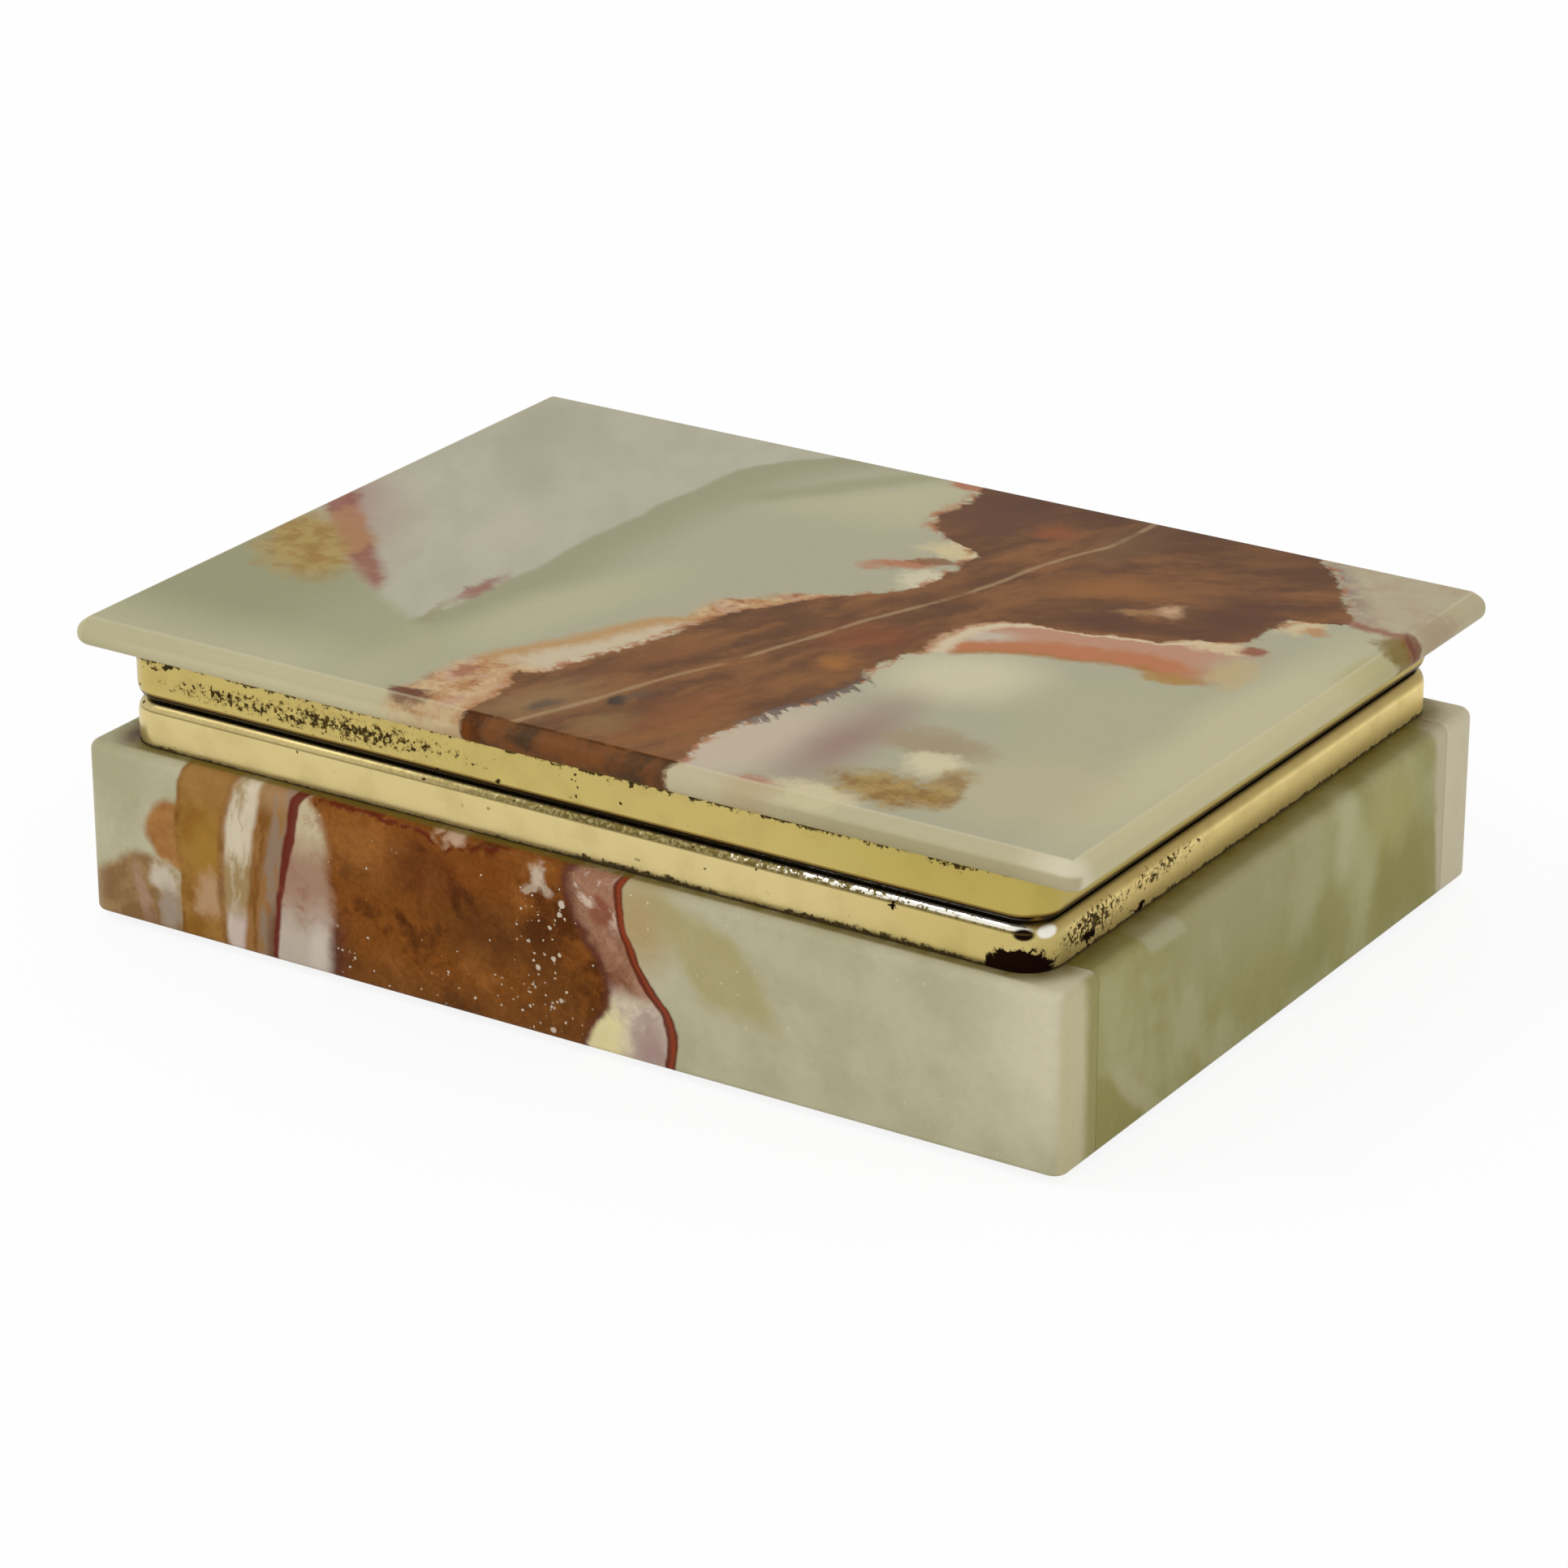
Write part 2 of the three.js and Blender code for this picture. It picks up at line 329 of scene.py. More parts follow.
def lidOnyxLook():
    look, wire = newLook("lidOnyx")
    place = placeOf(wire)
    calm = stirred(place, 24.0, 6.0)
    edge = stirred(stirred(place, 9.0, 3.0), 1.8, 2.0, 5.0)
    blots = stirred(stirred(place, 8.0, 6.0), 2.2, 3.4, 5.0)
    x, y = parts(edge)[:2]
    calmX, calmY = parts(calm)[:2]
    plainX, plainY, plainZ = parts(place)
    flat = joined(*parts(blots)[:2])
    calmFlat = joined(calmX, calmY)
    span = lidOnyx["span"]
    wide = lidOnyx["wide"]
    speckle = cloud(edge, 3.2, 5.0, 0.62)
    lumps = cloud(blots, 5.0, 5.0, 0.6)
    grain = cloud(edge, 1.1, 4.0, 0.6)
    spot = spotter(flat, lumps, grain)

    # Pale grey ground, greener to the right of a line from front to back
    drift = streaks(calm, (6.0, 18.0, 9.0), (0, 0, 0.5), 3.0)
    base = lay(tint(172, 168, 149), tint(178, 174, 156), soft(drift, 0.34, 0.66))
    base = lay(base, tint(161, 159, 138), patch(calmFlat, (-72, 44), (9, 15), 20, (1.4, 0.2)) * 0.7)
    base = lay(base, tint(164, 161, 141), patch(calmFlat, (-63, 27), (19, 4.5), -50, (1.5, 0.1)) * 0.75)
    base = lay(base, tint(184, 179, 162), patch(calmFlat, (-50, 4), (7, 15), 24, (1.5, 0.1)) * 0.6)
    greenAway = calmX - course(calmY, lidOnyx["greenEdge"], span)
    base = lay(base, tint(169, 166, 143), soft(greenAway, -0.6, 0.9))
    base = lay(base, tint(150, 148, 120), soft(greenAway, -0.7, 0.9) * soft(greenAway, 15.0, 2.0) * 0.9)
    secondAway = calmX - course(calmY, lidOnyx["secondBand"], span)
    farBand = soft(calmY, 26.0, 44.0) * soft(calmX, 6.0, -6.0)
    base = lay(base, tint(180, 176, 146), soft(secondAway, 2.0, 9.0) * farBand)
    base = lay(base, tint(154, 152, 121), soft(abs(secondAway), 4.5, 0.5) * soft(calmY, 24.0, 40.0) * 0.8)
    base = lay(base, tint(178, 175, 142), patch(calmFlat, (-26, -19), (7, 24), -16, (1.4, 0.3)) * 0.8)
    lowAway = course(calmX, lidOnyx["lowGreen"], wide) - calmY
    lowMask = soft(lowAway, -1.2, 3.0) * soft(calmX, -24.0, -30.0)
    lowTone = lay(tint(148, 147, 116), tint(158, 157, 127), soft(calmX, -66.0, -44.0))
    base = lay(base, lay(lowTone, tint(168, 165, 135), soft(calmX, -42.0, -32.0)), lowMask)
    # painted sheen: the ground lightens towards the front left corner
    base = lay(base, tint(194, 190, 160), soft(calmY, -40.0, -58.0) * soft(calmX, -22.0, -50.0) * 0.5)

    # Vein near the left edge, rose above it and ochre below
    veinUp = y - course(x, lidOnyx["leftVein"], wide)
    roseMask = soft(veinUp, 20.0, 0.0) * soft(veinUp, -1.0, 0.6) * soft(calmX, -52.0, -76.0)
    base = lay(base, tint(160, 134, 128), roseMask * 0.85)
    base = lay(base, tint(154, 146, 106), patch(calmFlat, (-71, -17), (13, 7), -50, (1.5, 0.1)) * 0.85)
    ochre = lay(tint(150, 114, 46), tint(168, 142, 80), soft(speckle, 0.36, 0.6))
    base = spot(base, ochre, (-71.5, -16.5), (15, 8.0), -50, 0.9, 0.42)
    veinWidth = soft(calmX, -46.0, -80.0) * 2.4 + 1.0
    veinMask = soft(abs(veinUp) - veinWidth, 2.4, -1.2) * soft(x, -50.0, -54.0)
    warm = soft(speckle + soft(abs(calmX + 69.0), 9.0, 2.0) * 0.4, 0.5, 0.8)
    base = lay(base, lay(tint(138, 78, 64), tint(162, 112, 74), warm), veinMask * 0.85)
    base = lay(base, tint(140, 90, 76), patch(flat, (-39.8, -18.5), (1.2, 5.5), 4, (1.6, 0.2)) * 0.85)
    base = lay(base, tint(142, 136, 102), patch(flat, (-40, -29), (1.0, 5.0), 10, (1.6, 0.2)) * 0.6)

    # Right of the brown: cream, grey-green, mauve and ochre clouds
    base = lay(base, tint(199, 193, 165), patch(calmFlat, (36, -11), (13, 11), 20, (1.35, 0.3)))
    base = lay(base, tint(174, 170, 141), patch(calmFlat, (62, -14), (16, 18), 0, (1.3, 0.4)) * 0.7)
    base = lay(base, tint(182, 174, 142), patch(calmFlat, (64, -40), (14, 16), 0, (1.3, 0.3)) * 0.8)
    base = lay(base, tint(189, 184, 150), patch(calmFlat, (77, -10), (9, 52), 0, (1.3, 0.3)) * 0.95)
    base = lay(base, tint(192, 176, 158), patch(calmFlat, (24, -46), (9, 18), -10, (1.4, 0.4)) * 0.9)
    base = lay(base, tint(150, 124, 114), patch(calmFlat, (34.5, -39), (6, 17), 4, (1.6, 0.0)) * 0.95)
    base = spot(base, tint(156, 136, 106), (45.5, -33), (9, 4.5), 4, 0.75, 0.45)
    base = spot(base, tint(206, 194, 158), (40.5, -56), (6.5, 3.6), 0, 0.9, 0.4)
    base = spot(base, tint(208, 198, 164), (48.5, -39.5), (5.0, 4.4), 0, 0.85, 0.42)
    gold = lay(tint(136, 98, 34), tint(166, 136, 72), soft(speckle, 0.36, 0.64))
    base = spot(base, gold, (48, -49.5), (9, 5.5), -8, 0.9, 0.36)
    base = spot(base, gold, (54.5, -46), (3.6, 7), 4, 0.75, 0.4)
    base = spot(base, tint(172, 112, 88), (31.5, -58), (4.5, 3.0), 0, 0.75, 0.42)

    # Cream, pink and orange along the left of the brown
    leftEdge = course(y, lidOnyx["brownLeft"], span)
    rightEdge = course(y, lidOnyx["brownRight"], span)
    inside = smaller(x - leftEdge, rightEdge - x)
    haloAway = x - course(y, lidOnyx["haloLeft"], span)
    halo = soft(haloAway, -1.8, 1.4) * soft(y, 13.0, 8.0) * soft(leftEdge + 4.0 - x, 0.0, 1.0)
    flesh = lay(tint(172, 124, 80), tint(198, 170, 130), soft(speckle, 0.36, 0.6))
    flesh = lay(flesh, tint(188, 152, 126), soft(lumps, 0.5, 0.62) * 0.8)
    flesh = lay(flesh, tint(146, 88, 54), soft(cloud(edge, 4.0, 4.0), 0.55, 0.66) * 0.75)
    rim = lay(tint(180, 144, 98), tint(196, 180, 154), soft(haloAway + speckle * 5.0, 4.0, 8.0))
    haloTone = lay(flesh, rim, soft(y, -42.0, -37.0) * soft(y, -9.0, -13.0))
    base = lay(base, haloTone, halo)
    base = spot(base, tint(96, 46, 28), (-24.5, -55.5), (3.4, 2.2), 20, 0.9, 0.3)
    base = spot(base, tint(146, 78, 56), (-22.5, -45), (2.0, 2.6), 0, 0.7, 0.3)

    # Cream hollow and orange spur to the left of the neck
    base = spot(base, tint(204, 188, 148), (10, 31.5), (6.0, 4.4), 20, 0.9, 0.36)
    base = spot(base, tint(205, 196, 170), (11.5, 18), (4.2, 4.8), -20, 0.85, 0.36)
    base = spot(base, tint(172, 110, 76), (5.5, 22.5), (5.4, 2.6), 24, 0.9, 0.38)
    base = spot(base, tint(128, 84, 50), (9, 25.5), (4.2, 1.6), 20, 0.8, 0.38)
    base = spot(base, tint(168, 104, 74), (-3.8, 57), (3.6, 2.4), -30, 0.9, 0.36)
    base = spot(base, tint(176, 122, 80), (0.6, 43), (2.4, 5.2), 0, 0.75, 0.4)

    # Below the right arm of the brown: orange, then pink, then a white line and ochre specks
    armUp = y - course(x, lidOnyx["underArm"], wide)
    armEnd = soft(x, 23.0, 25.5) * soft(x, 70.0, 58.0)
    armMask = soft(armUp, -1.2, 1.0) * armEnd * soft(calmY, 22.0, 18.0)
    armTone = lay(tint(162, 112, 58), tint(180, 116, 78), soft(armUp + speckle * 3.0, 1.4, 3.4))
    armTone = lay(armTone, tint(184, 142, 120), soft(armUp + speckle * 5.0, 6.6, 10.0) * 0.8)
    armTone = lay(armTone, tint(190, 176, 158), patch(flat, (30, 3.8), (5.5, 2.8), 20, (1.5, 0.3)))
    armTone = lay(armTone, tint(206, 188, 160), soft(inside, -4.6, -2.6))
    armTone = lay(armTone, tint(158, 114, 62), soft(inside, -2.2, -0.6) * soft(speckle, 0.56, 0.44) * 0.85)
    base = lay(base, armTone, armMask)
    base = spot(base, tint(166, 128, 68), (60, 4.4), (5.0, 2.6), 8, 0.85, 0.36)
    base = spot(base, tint(188, 168, 122), (66.5, 10), (3.6, 6.0), 24, 0.7, 0.42)
    base = spot(base, tint(206, 186, 150), (59, 18), (5.4, 2.6), 12, 0.9, 0.34)
    base = spot(base, tint(142, 82, 56), (64.5, 19.5), (2.4, 2.4), 0, 0.9, 0.34)
    base = spot(base, tint(202, 184, 146), (65.8, 32), (3.6, 4.4), 0, 0.9, 0.36)
    base = spot(base, tint(180, 130, 84), (68.6, 30.5), (2.6, 2.4), 0, 0.8, 0.36)

    # Rose corner at the back right
    cornerMask = soft(y, 34.0, 37.0) * soft(x - rightEdge, -1.0, 1.0)
    base = lay(base, lay(tint(177, 168, 142), tint(174, 156, 132), soft(lumps, 0.36, 0.66)), cornerMask)
    greyed = soft(x - rightEdge, 6.0, 0.0) * soft(speckle, 0.34, 0.6)
    base = lay(base, tint(138, 122, 112), cornerMask * greyed)
    base = lay(base, tint(170, 164, 112), patch(calmFlat, (81, 22), (2.5, 8), 0, (1.5, 0.3)) * 0.7)

    # The brown: clouds drawn out along the band, purple at the back, taupe and rust in front
    along = (0, 0, -0.36)
    arm = soft(calmX, 24.0, 34.0)
    blotch = streaks(edge, (5.0, 14.0, 6.0), along, 4.0, 0.55) * (1 - arm)
    blotch = blotch + streaks(edge, (14.0, 5.0, 6.0), (0, 0, 0.45), 4.0, 0.55) * arm
    thread = streaks(edge, (1.4, 8.0, 3.0), along, 3.0) * (1 - arm)
    thread = thread + streaks(edge, (8.0, 1.4, 3.0), (0, 0, 0.4), 3.0) * arm
    brown = lay(tint(102, 70, 48), tint(138, 98, 64), soft(blotch, 0.34, 0.66))
    brown = lay(brown, tint(158, 106, 62), soft(thread, 0.54, 0.72) * soft(blotch, 0.42, 0.6) * 0.4)
    brown = lay(brown, tint(86, 54, 38), soft(thread, 0.44, 0.3) * 0.3)
    brown = lay(brown, tint(98, 66, 56), patch(calmFlat, (7, 49), (10, 13), 0, (1.5, 0.2)) * 0.85)
    brown = lay(brown, tint(92, 60, 48), patch(flat, (57, 30), (7, 11), 15, (1.5, 0.2)) * 0.8)
    brown = lay(brown, tint(92, 60, 46), patch(flat, (43, 18), (15, 3.6), 14, (1.4, 0.3)) * 0.8)
    brown = lay(brown, tint(152, 106, 64), patch(flat, (36, 30), (10, 5), 35, (1.5, 0.1)) * 0.75)
    brown = lay(brown, tint(116, 92, 70), patch(flat, (30, 49), (5, 12), -10, (1.5, 0.1)) * 0.7)
    brown = lay(brown, tint(150, 92, 56), patch(flat, (18, 45.5), (3.6, 3), 20, (1.6, 0.0)) * 0.85)
    brown = lay(brown, tint(134, 80, 52), patch(flat, (17, -5), (7, 5), 30, (1.5, 0.1)) * 0.8)
    brown = lay(brown, tint(166, 116, 64), patch(flat, (17.5, -15.5), (2.6, 3.6), 0, (1.6, 0.0)) * 0.9)
    brown = lay(brown, tint(148, 98, 60), patch(flat, (11, -42), (5, 14), -14, (1.5, 0.1)) * 0.7)
    brown = lay(brown, tint(142, 96, 62), patch(flat, (-4, -27), (3, 12), -18, (1.5, 0.1)) * 0.6)
    brown = lay(brown, tint(150, 124, 96), patch(flat, (-8, -49), (5.5, 11), -14, (1.5, 0.1)) * 0.85)
    brown = lay(brown, tint(142, 118, 84), patch(flat, (4, -51), (3.4, 5), 0, (1.6, 0.0)) * 0.8)
    brown = lay(brown, tint(84, 54, 38), soft(calmY, 42.0, 56.0) * 0.4)
    brown = lay(brown, tint(206, 180, 166), patch(flat, (47.8, 26), (2.6, 2.6), 40, (1.5, 0.2)) * 0.9)
    brown = lay(brown, tint(176, 140, 110), patch(flat, (43.5, 23.5), (3.4, 1.6), 30, (1.5, 0.2)) * 0.7)
    brown = toned(brown, (0.9, 0.78, 0.56))
    lineAway = abs(plainX - course(plainY, lidOnyx["creamLine"], span)) + (speckle - 0.5) * 0.9
    lineHalf = soft(plainY, -30.0, -46.0) * 0.15 + 0.42
    creamLine = soft(lineAway - lineHalf, 0.4, -0.35) * soft(cloud(calm, 9.0), 0.3, 0.5)
    brown = lay(brown, tint(164, 136, 100), creamLine * 0.68)
    brown = lay(brown, tint(48, 40, 32), patch(flat, (0.6, -43.5), (1.7, 2.2), 0, (1.5, 0.3)) * 0.9)
    brown = lay(brown, tint(92, 76, 62), patch(flat, (2.2, -40.5), (1.4, 3.4), -20, (1.5, 0.2)) * 0.7)
    brown = lay(brown, tint(86, 70, 56), patch(flat, (-6.4, -50), (1.4, 3.2), -10, (1.5, 0.2)) * 0.8)

    # Ragged borders, and a dark comb along the right edge near the front
    teeth = streaks(place, (4.0, 0.9, 2.0), (0, 0, -0.5), 2.0)
    comb = soft(teeth + inside * 0.09, 0.4, 0.46) * soft(inside, -4.5, -1.0) * soft(inside, 1.6, 0.0)
    comb = comb * soft(y, -44.0, -37.0) * soft(y, -15.0, -21.0) * soft(x, 12.0, 16.0)
    fringe = soft(abs(inside + 0.4), 1.7, 0.2) * soft(speckle, 0.46, 0.56)
    base = lay(base, tint(166, 106, 66), fringe * 0.8)
    brownMask = soft(inside + (speckle - 0.5) * 3.0, -0.6, 0.6)
    colour = lay(base, brown, brownMask)
    colour = lay(colour, tint(98, 84, 78), comb * 0.85)

    # The bevel: painted light on its facets, stronger on the side and at the front right corner, rust where
    # it cuts the brown, and a painted highlight along its upper edge
    pastSide = abs(plainX) - lidOnyx["flatAcross"]
    pastFront = abs(plainY) - lidOnyx["flatAlong"]
    onSide = soft(pastSide, -0.2, 0.2)
    bevel = larger(soft(pastFront, -0.2, 0.2), onSide)
    lit = lay(tint(194, 186, 150), tint(207, 196, 156), onSide)
    lit = lay(lit, tint(232, 224, 200), patch(joined(plainX, plainY), (80.5, -58), (7, 3), 0, (1.5, 0.1)))
    rust = lay(tint(58, 22, 0), tint(112, 56, 8), soft(cloud(edge, 5.0, 5.0, 0.6), 0.36, 0.64))
    litShare = 0.4 + soft(plainX, -78.0, -36.0) * 0.25 - soft(plainY, 12.0, 30.0) * 0.4
    bevelTone = lay(colour, lit, litShare * (1 - halo * 0.7))
    colour = lay(colour, lay(bevelTone, rust, brownMask * 0.9), bevel)
    crease = larger(
        soft(abs(pastFront), 0.35, 0.1) * soft(pastSide, 0.3, -0.1),
        soft(abs(pastSide), 0.35, 0.1) * soft(pastFront, 0.3, -0.1),
    )
    colour = lay(colour, tint(212, 204, 178), crease * (1 - brownMask) * 0.3)
    colour = lay(colour, tint(70, 38, 14), crease * brownMask * soft(speckle, 0.4, 0.56) * 0.7)
    # painted light and shade along the foot of the edge: lighter towards the left, painted shade towards the
    # right front
    foot = soft(plainZ, 44.0, 43.4) * (1 - brownMask)
    pale = foot * soft(plainX, 16.0, -30.0) * soft(plainX, -84.0, -66.0)
    colour = lay(colour, tint(208, 199, 164), pale * 0.4)
    shade = foot * soft(plainX, 20.0, 46.0) * soft(plainY, -57.0, -58.0)
    colour = lay(colour, tint(158, 146, 108), shade * 0.6)

    # Rose and brown cracks across the right edge
    roseLine = soft(abs(y - 35.4 - (76.0 - x) * 0.16), 1.8, 0.2) * soft(x, 68.5, 72.0)
    colour = lay(colour, tint(144, 92, 74), roseLine * 0.85)
    colour = spot(colour, tint(124, 100, 40), (80.2, 31.5), (3.6, 2.8), 0, 0.85, 0.36)
    colour = spot(colour, tint(112, 62, 46), (81.6, 35.5), (3.2, 1.6), 0, 0.85, 0.34)
    colour = spot(colour, tint(166, 146, 124), (81, 42), (2.4, 6.0), 0, 0.6, 0.42)
    colour = toned(mottled(colour, grain, 0.1 + brownMask * 0.16), (0.93, 0.915, 0.865))
    polishedStone(wire, place, colour, grain, comb * 0.3)
    return look


# Onyx of the front wall: across is x and up is z
frontOnyx = {
    "span": (0.0, 28.0),
    "wide": (-82.0, 82.0),
    "ochreEdge": [
        (0, -64.2), (5, -64), (10, -63.9), (15, -64.1), (18, -64.2), (21, -64), (24, -63.6), (26, -62.9),
        (28, -62),
    ],
    "brownLine": [(0, -55.3), (5, -56.2), (10, -56.6), (15, -56), (20, -55.3), (25, -54.2), (28, -53.2)],
    "whiteEnd": [(0, -52.8), (5, -52.3), (10, -51.4), (15, -50.9), (20, -50.2), (25, -49.4), (28, -48.8)],
    "redLine": [
        (0, -47.3), (5, -46.5), (10, -45.7), (15, -44.9), (20, -44.2), (24, -43.5), (26, -42.8), (28, -41.4),
    ],
    "amberEdge": [
        (0, -37.4), (5, -37.2), (10, -37), (15, -37), (18, -37.4), (20, -37.6), (23, -37.8),
        (25, -38.8), (28, -41),
    ],
    "amberEnd": [
        (0, 4.5), (3, 5.5), (5, 6.6), (7, 8), (10, 9), (12, 8.4), (15, 7), (18, 5), (20, 3.8),
        (22, 3), (25, 2.5), (28, 3),
    ],
    "secondRed": [
        (0, 19.3), (3, 19.8), (6, 20), (8, 19.5), (10, 18.3), (12, 16.6), (14, 15.2), (16, 13.9),
        (18, 12.9), (20, 12.1), (22, 11.4), (25, 11), (28, 12),
    ],
    "stainTop": [(-82, 8.5), (-78, 9), (-74, 11), (-71, 12.3), (-68, 12), (-65, 11), (-63, 9), (82, 0)],
    "topRed": [
        (-82, 29), (-41, 27.6), (-38, 26.9), (-33, 27), (-28, 26.8), (-23, 26.2), (-20.5, 25.8), (-18, 24.6),
        (-16, 25.6), (-13, 26.2), (-9, 26.8), (-4, 27.6), (82, 29),
    ],
}


def frontOnyxLook():
    look, wire = newLook("frontOnyx")
    place = placeOf(wire)
    calm = stirred(place, 10.0, 2.6)
    edge = stirred(calm, 2.0, 1.8, 5.0)
    blots = stirred(stirred(place, 6.0, 5.0), 1.8, 2.4, 5.0)
    x, z = parts(edge)[::2]
    calmX, calmY, calmZ = parts(calm)
    plainX = parts(place)[0]
    flat = joined(*parts(blots)[::2])
    calmFlat = joined(calmX, calmZ)
    ruffledX, ruffledZ = parts(stirred(place, 0.7, 0.7, 3.0))[::2]
    face = joined(ruffledX + 7.4, ruffledZ + 3.1)
    span = frontOnyx["span"]
    grain = cloud(edge, 1.3, 5.0, 0.65)
    lumps = cloud(blots, 4.5, 5.0, 0.62)
    clouds = cloud(edge, 7.0, 7.0, 0.62)
    run = streaks(edge, (1.6, 6.0, 9.0), (0, 0.08, 0), 3.0, 0.5)
    spot = spotter(flat, lumps, grain)

    def after(name, softness, acrossAt=calmX, upAt=calmZ):
        away = acrossAt - course(upAt, frontOnyx[name], span)
        return away, soft(away, -softness, softness)

    # Pale ends
    haze = streaks(calm, (9.0, 6.0, 7.0), (0, 0.6, 0), 4.0)
    pale = lay(tint(174, 169, 137), tint(184, 178, 149), soft(haze, 0.36, 0.64))
    pale = lay(pale, tint(150, 147, 108), soft(calmX, -62.0, -76.0) * soft(calmZ, 14.0, 24.0) * 0.5)
    pale = lay(pale, tint(204, 197, 168), soft(calmX, 60.0, 80.0) * soft(calmZ, 2.0, 16.0) * 0.9)
    colour = pale

    # Orange lobe, then ochre with a thin dark border
    lobe = patch(joined(x, z), (-64.0, 16.2), (5.4, 5.2), 0, (1.15, 0.85))
    colour = lay(colour, lay(tint(136, 82, 34), tint(164, 114, 58), soft(clouds, 0.36, 0.62)), lobe * 0.95)
    ochreAway, ochreMask = after("ochreEdge", 0.4)
    ochre = lay(tint(134, 90, 34), tint(156, 114, 56), soft(clouds, 0.36, 0.62))
    ochre = lay(ochre, tint(158, 118, 48), patch(calmFlat, (-58.5, 15), (3.5, 6), 0, (1.5, 0.1)) * 0.8)
    ochre = lay(ochre, tint(158, 120, 68), soft(calmZ, 20.0, 25.0) * 0.6)
    ochre = spot(ochre, tint(182, 148, 114), (-58.6, 8.4), (3.2, 3.6), 0, 0.8, 0.42)
    border = soft(abs(ochreAway - 0.2), 1.1, 0.1) * soft(lumps, 0.34, 0.62)
    ochre = lay(ochre, tint(112, 70, 30), border * 0.7)
    colour = lay(colour, ochre, ochreMask)

    # A thin brown line, a stripe that is white above and lilac below, then brown and grey stripes
    lineAway, lineMask = after("brownLine", 0.4)
    upperWhite = soft(calmZ + lumps * 8.0, 14.0, 24.0)
    white = lay(tint(158, 132, 90), tint(206, 193, 166), soft(run + upperWhite * 0.26, 0.52, 0.78))
    white = lay(white, tint(198, 180, 168), soft(calmZ + lumps * 5.0, 11.5, 7.0) * soft(lineAway, 0.2, 1.2))
    colour = lay(colour, white, lineMask)
    lineTone = lay(tint(116, 70, 30), tint(146, 104, 56), soft(lumps, 0.4, 0.6))
    colour = lay(colour, lineTone, soft(abs(lineAway), 1.1, 0.1) * soft(lumps, 0.26, 0.5) * 0.85)
    redAway, redMask = after("redLine", 0.35)
    whiteMask = after("whiteEnd", 0.6)[1]
    stripe = lay(tint(126, 82, 36), tint(148, 106, 60), soft(run, 0.4, 0.6))
    stripe = lay(stripe, tint(170, 136, 96), soft(calmZ, 22.0, 26.0) * 0.6)
    stripe = lay(stripe, tint(144, 124, 104), soft(redAway, -4.0, -2.8) * soft(run, 0.66, 0.48) * 0.85)
    stripe = lay(stripe, tint(104, 66, 44), soft(redAway, -2.6, -0.6) * soft(calmZ, 11.0, 6.0) * 0.8)
    colour = lay(colour, stripe, whiteMask)
    rose = lay(tint(186, 172, 156), tint(160, 128, 104), soft(calmZ + lumps * 9.0, 10.0, 18.0))
    rose = lay(rose, tint(192, 175, 140), soft(calmZ + lumps * 9.0, 21.0, 27.0))
    rose = lay(rose, tint(146, 104, 82), soft(lumps, 0.5, 0.64) * soft(calmZ, 7.0, 11.0) * 0.7)
    rose = lay(rose, tint(204, 192, 178), patch(calmFlat, (-39.4, 5), (1.8, 5), -6, (1.5, 0.1)) * 0.8)
    colour = lay(colour, rose, redMask)

    # The amber field, blotchy in three tones
    amberAway, amberMask = after("amberEdge", 1.2, x, z)
    amber = lay(tint(84, 44, 14), tint(124, 72, 26), soft(clouds, 0.36, 0.52))
    amber = lay(amber, tint(150, 94, 42), soft(clouds, 0.54, 0.7) * 0.8)
    amber = lay(amber, tint(152, 98, 46), patch(flat, (-32, 22), (8, 5), -8, (1.5, 0.1)) * 0.75)
    amber = lay(amber, tint(92, 46, 20), patch(flat, (-22, 20.5), (6.5, 4.5), 0, (1.6, 0.0)) * 0.7)
    amber = lay(amber, tint(122, 66, 20), patch(flat, (-11, 22), (6, 3.5), 0, (1.5, 0.1)) * 0.7)
    amber = lay(amber, tint(80, 46, 20), patch(flat, (-9, 14), (10, 6), 0, (1.5, 0.1)) * 0.7)
    amber = lay(amber, tint(120, 74, 30), patch(flat, (1, 8), (6, 6), 0, (1.5, 0.1)) * 0.6)
    amber = lay(amber, tint(106, 68, 34), soft(calmZ, 9.0, 2.0) * 0.5)
    dusk = soft(amberAway, 4.6, 0.0) * soft(calmZ, 13.0, 7.0)
    amber = lay(amber, tint(86, 48, 40), dusk * 0.8)
    amber = mottled(amber, cloud(edge, 0.8, 3.0, 0.7), 0.9)
    colour = lay(colour, amber, amberMask)
    redWidth = 0.4 + soft(calmZ, 8.0, 24.0) * 0.5
    redTone = lay(tint(100, 32, 22), tint(124, 62, 46), soft(lumps, 0.54, 0.72))
    colour = lay(colour, redTone, soft(abs(redAway) - redWidth, 0.35, -0.25) * 0.95)
    topAway = z - course(x, frontOnyx["topRed"], frontOnyx["wide"])
    topSpan = soft(x, -43.0, -40.0) * soft(x, -5.0, -9.0)
    pink = soft(x, -20.5, -19.0) * soft(x, -13.5, -15.0) * soft(lumps, 0.36, 0.6)
    colour = lay(colour, tint(186, 156, 128), soft(topAway, 0.1, 0.7) * pink)
    topMask = soft(abs(topAway), 0.5, 0.1) * topSpan * soft(lumps, 0.38, 0.5)
    colour = lay(colour, tint(96, 34, 18), topMask * 0.9)

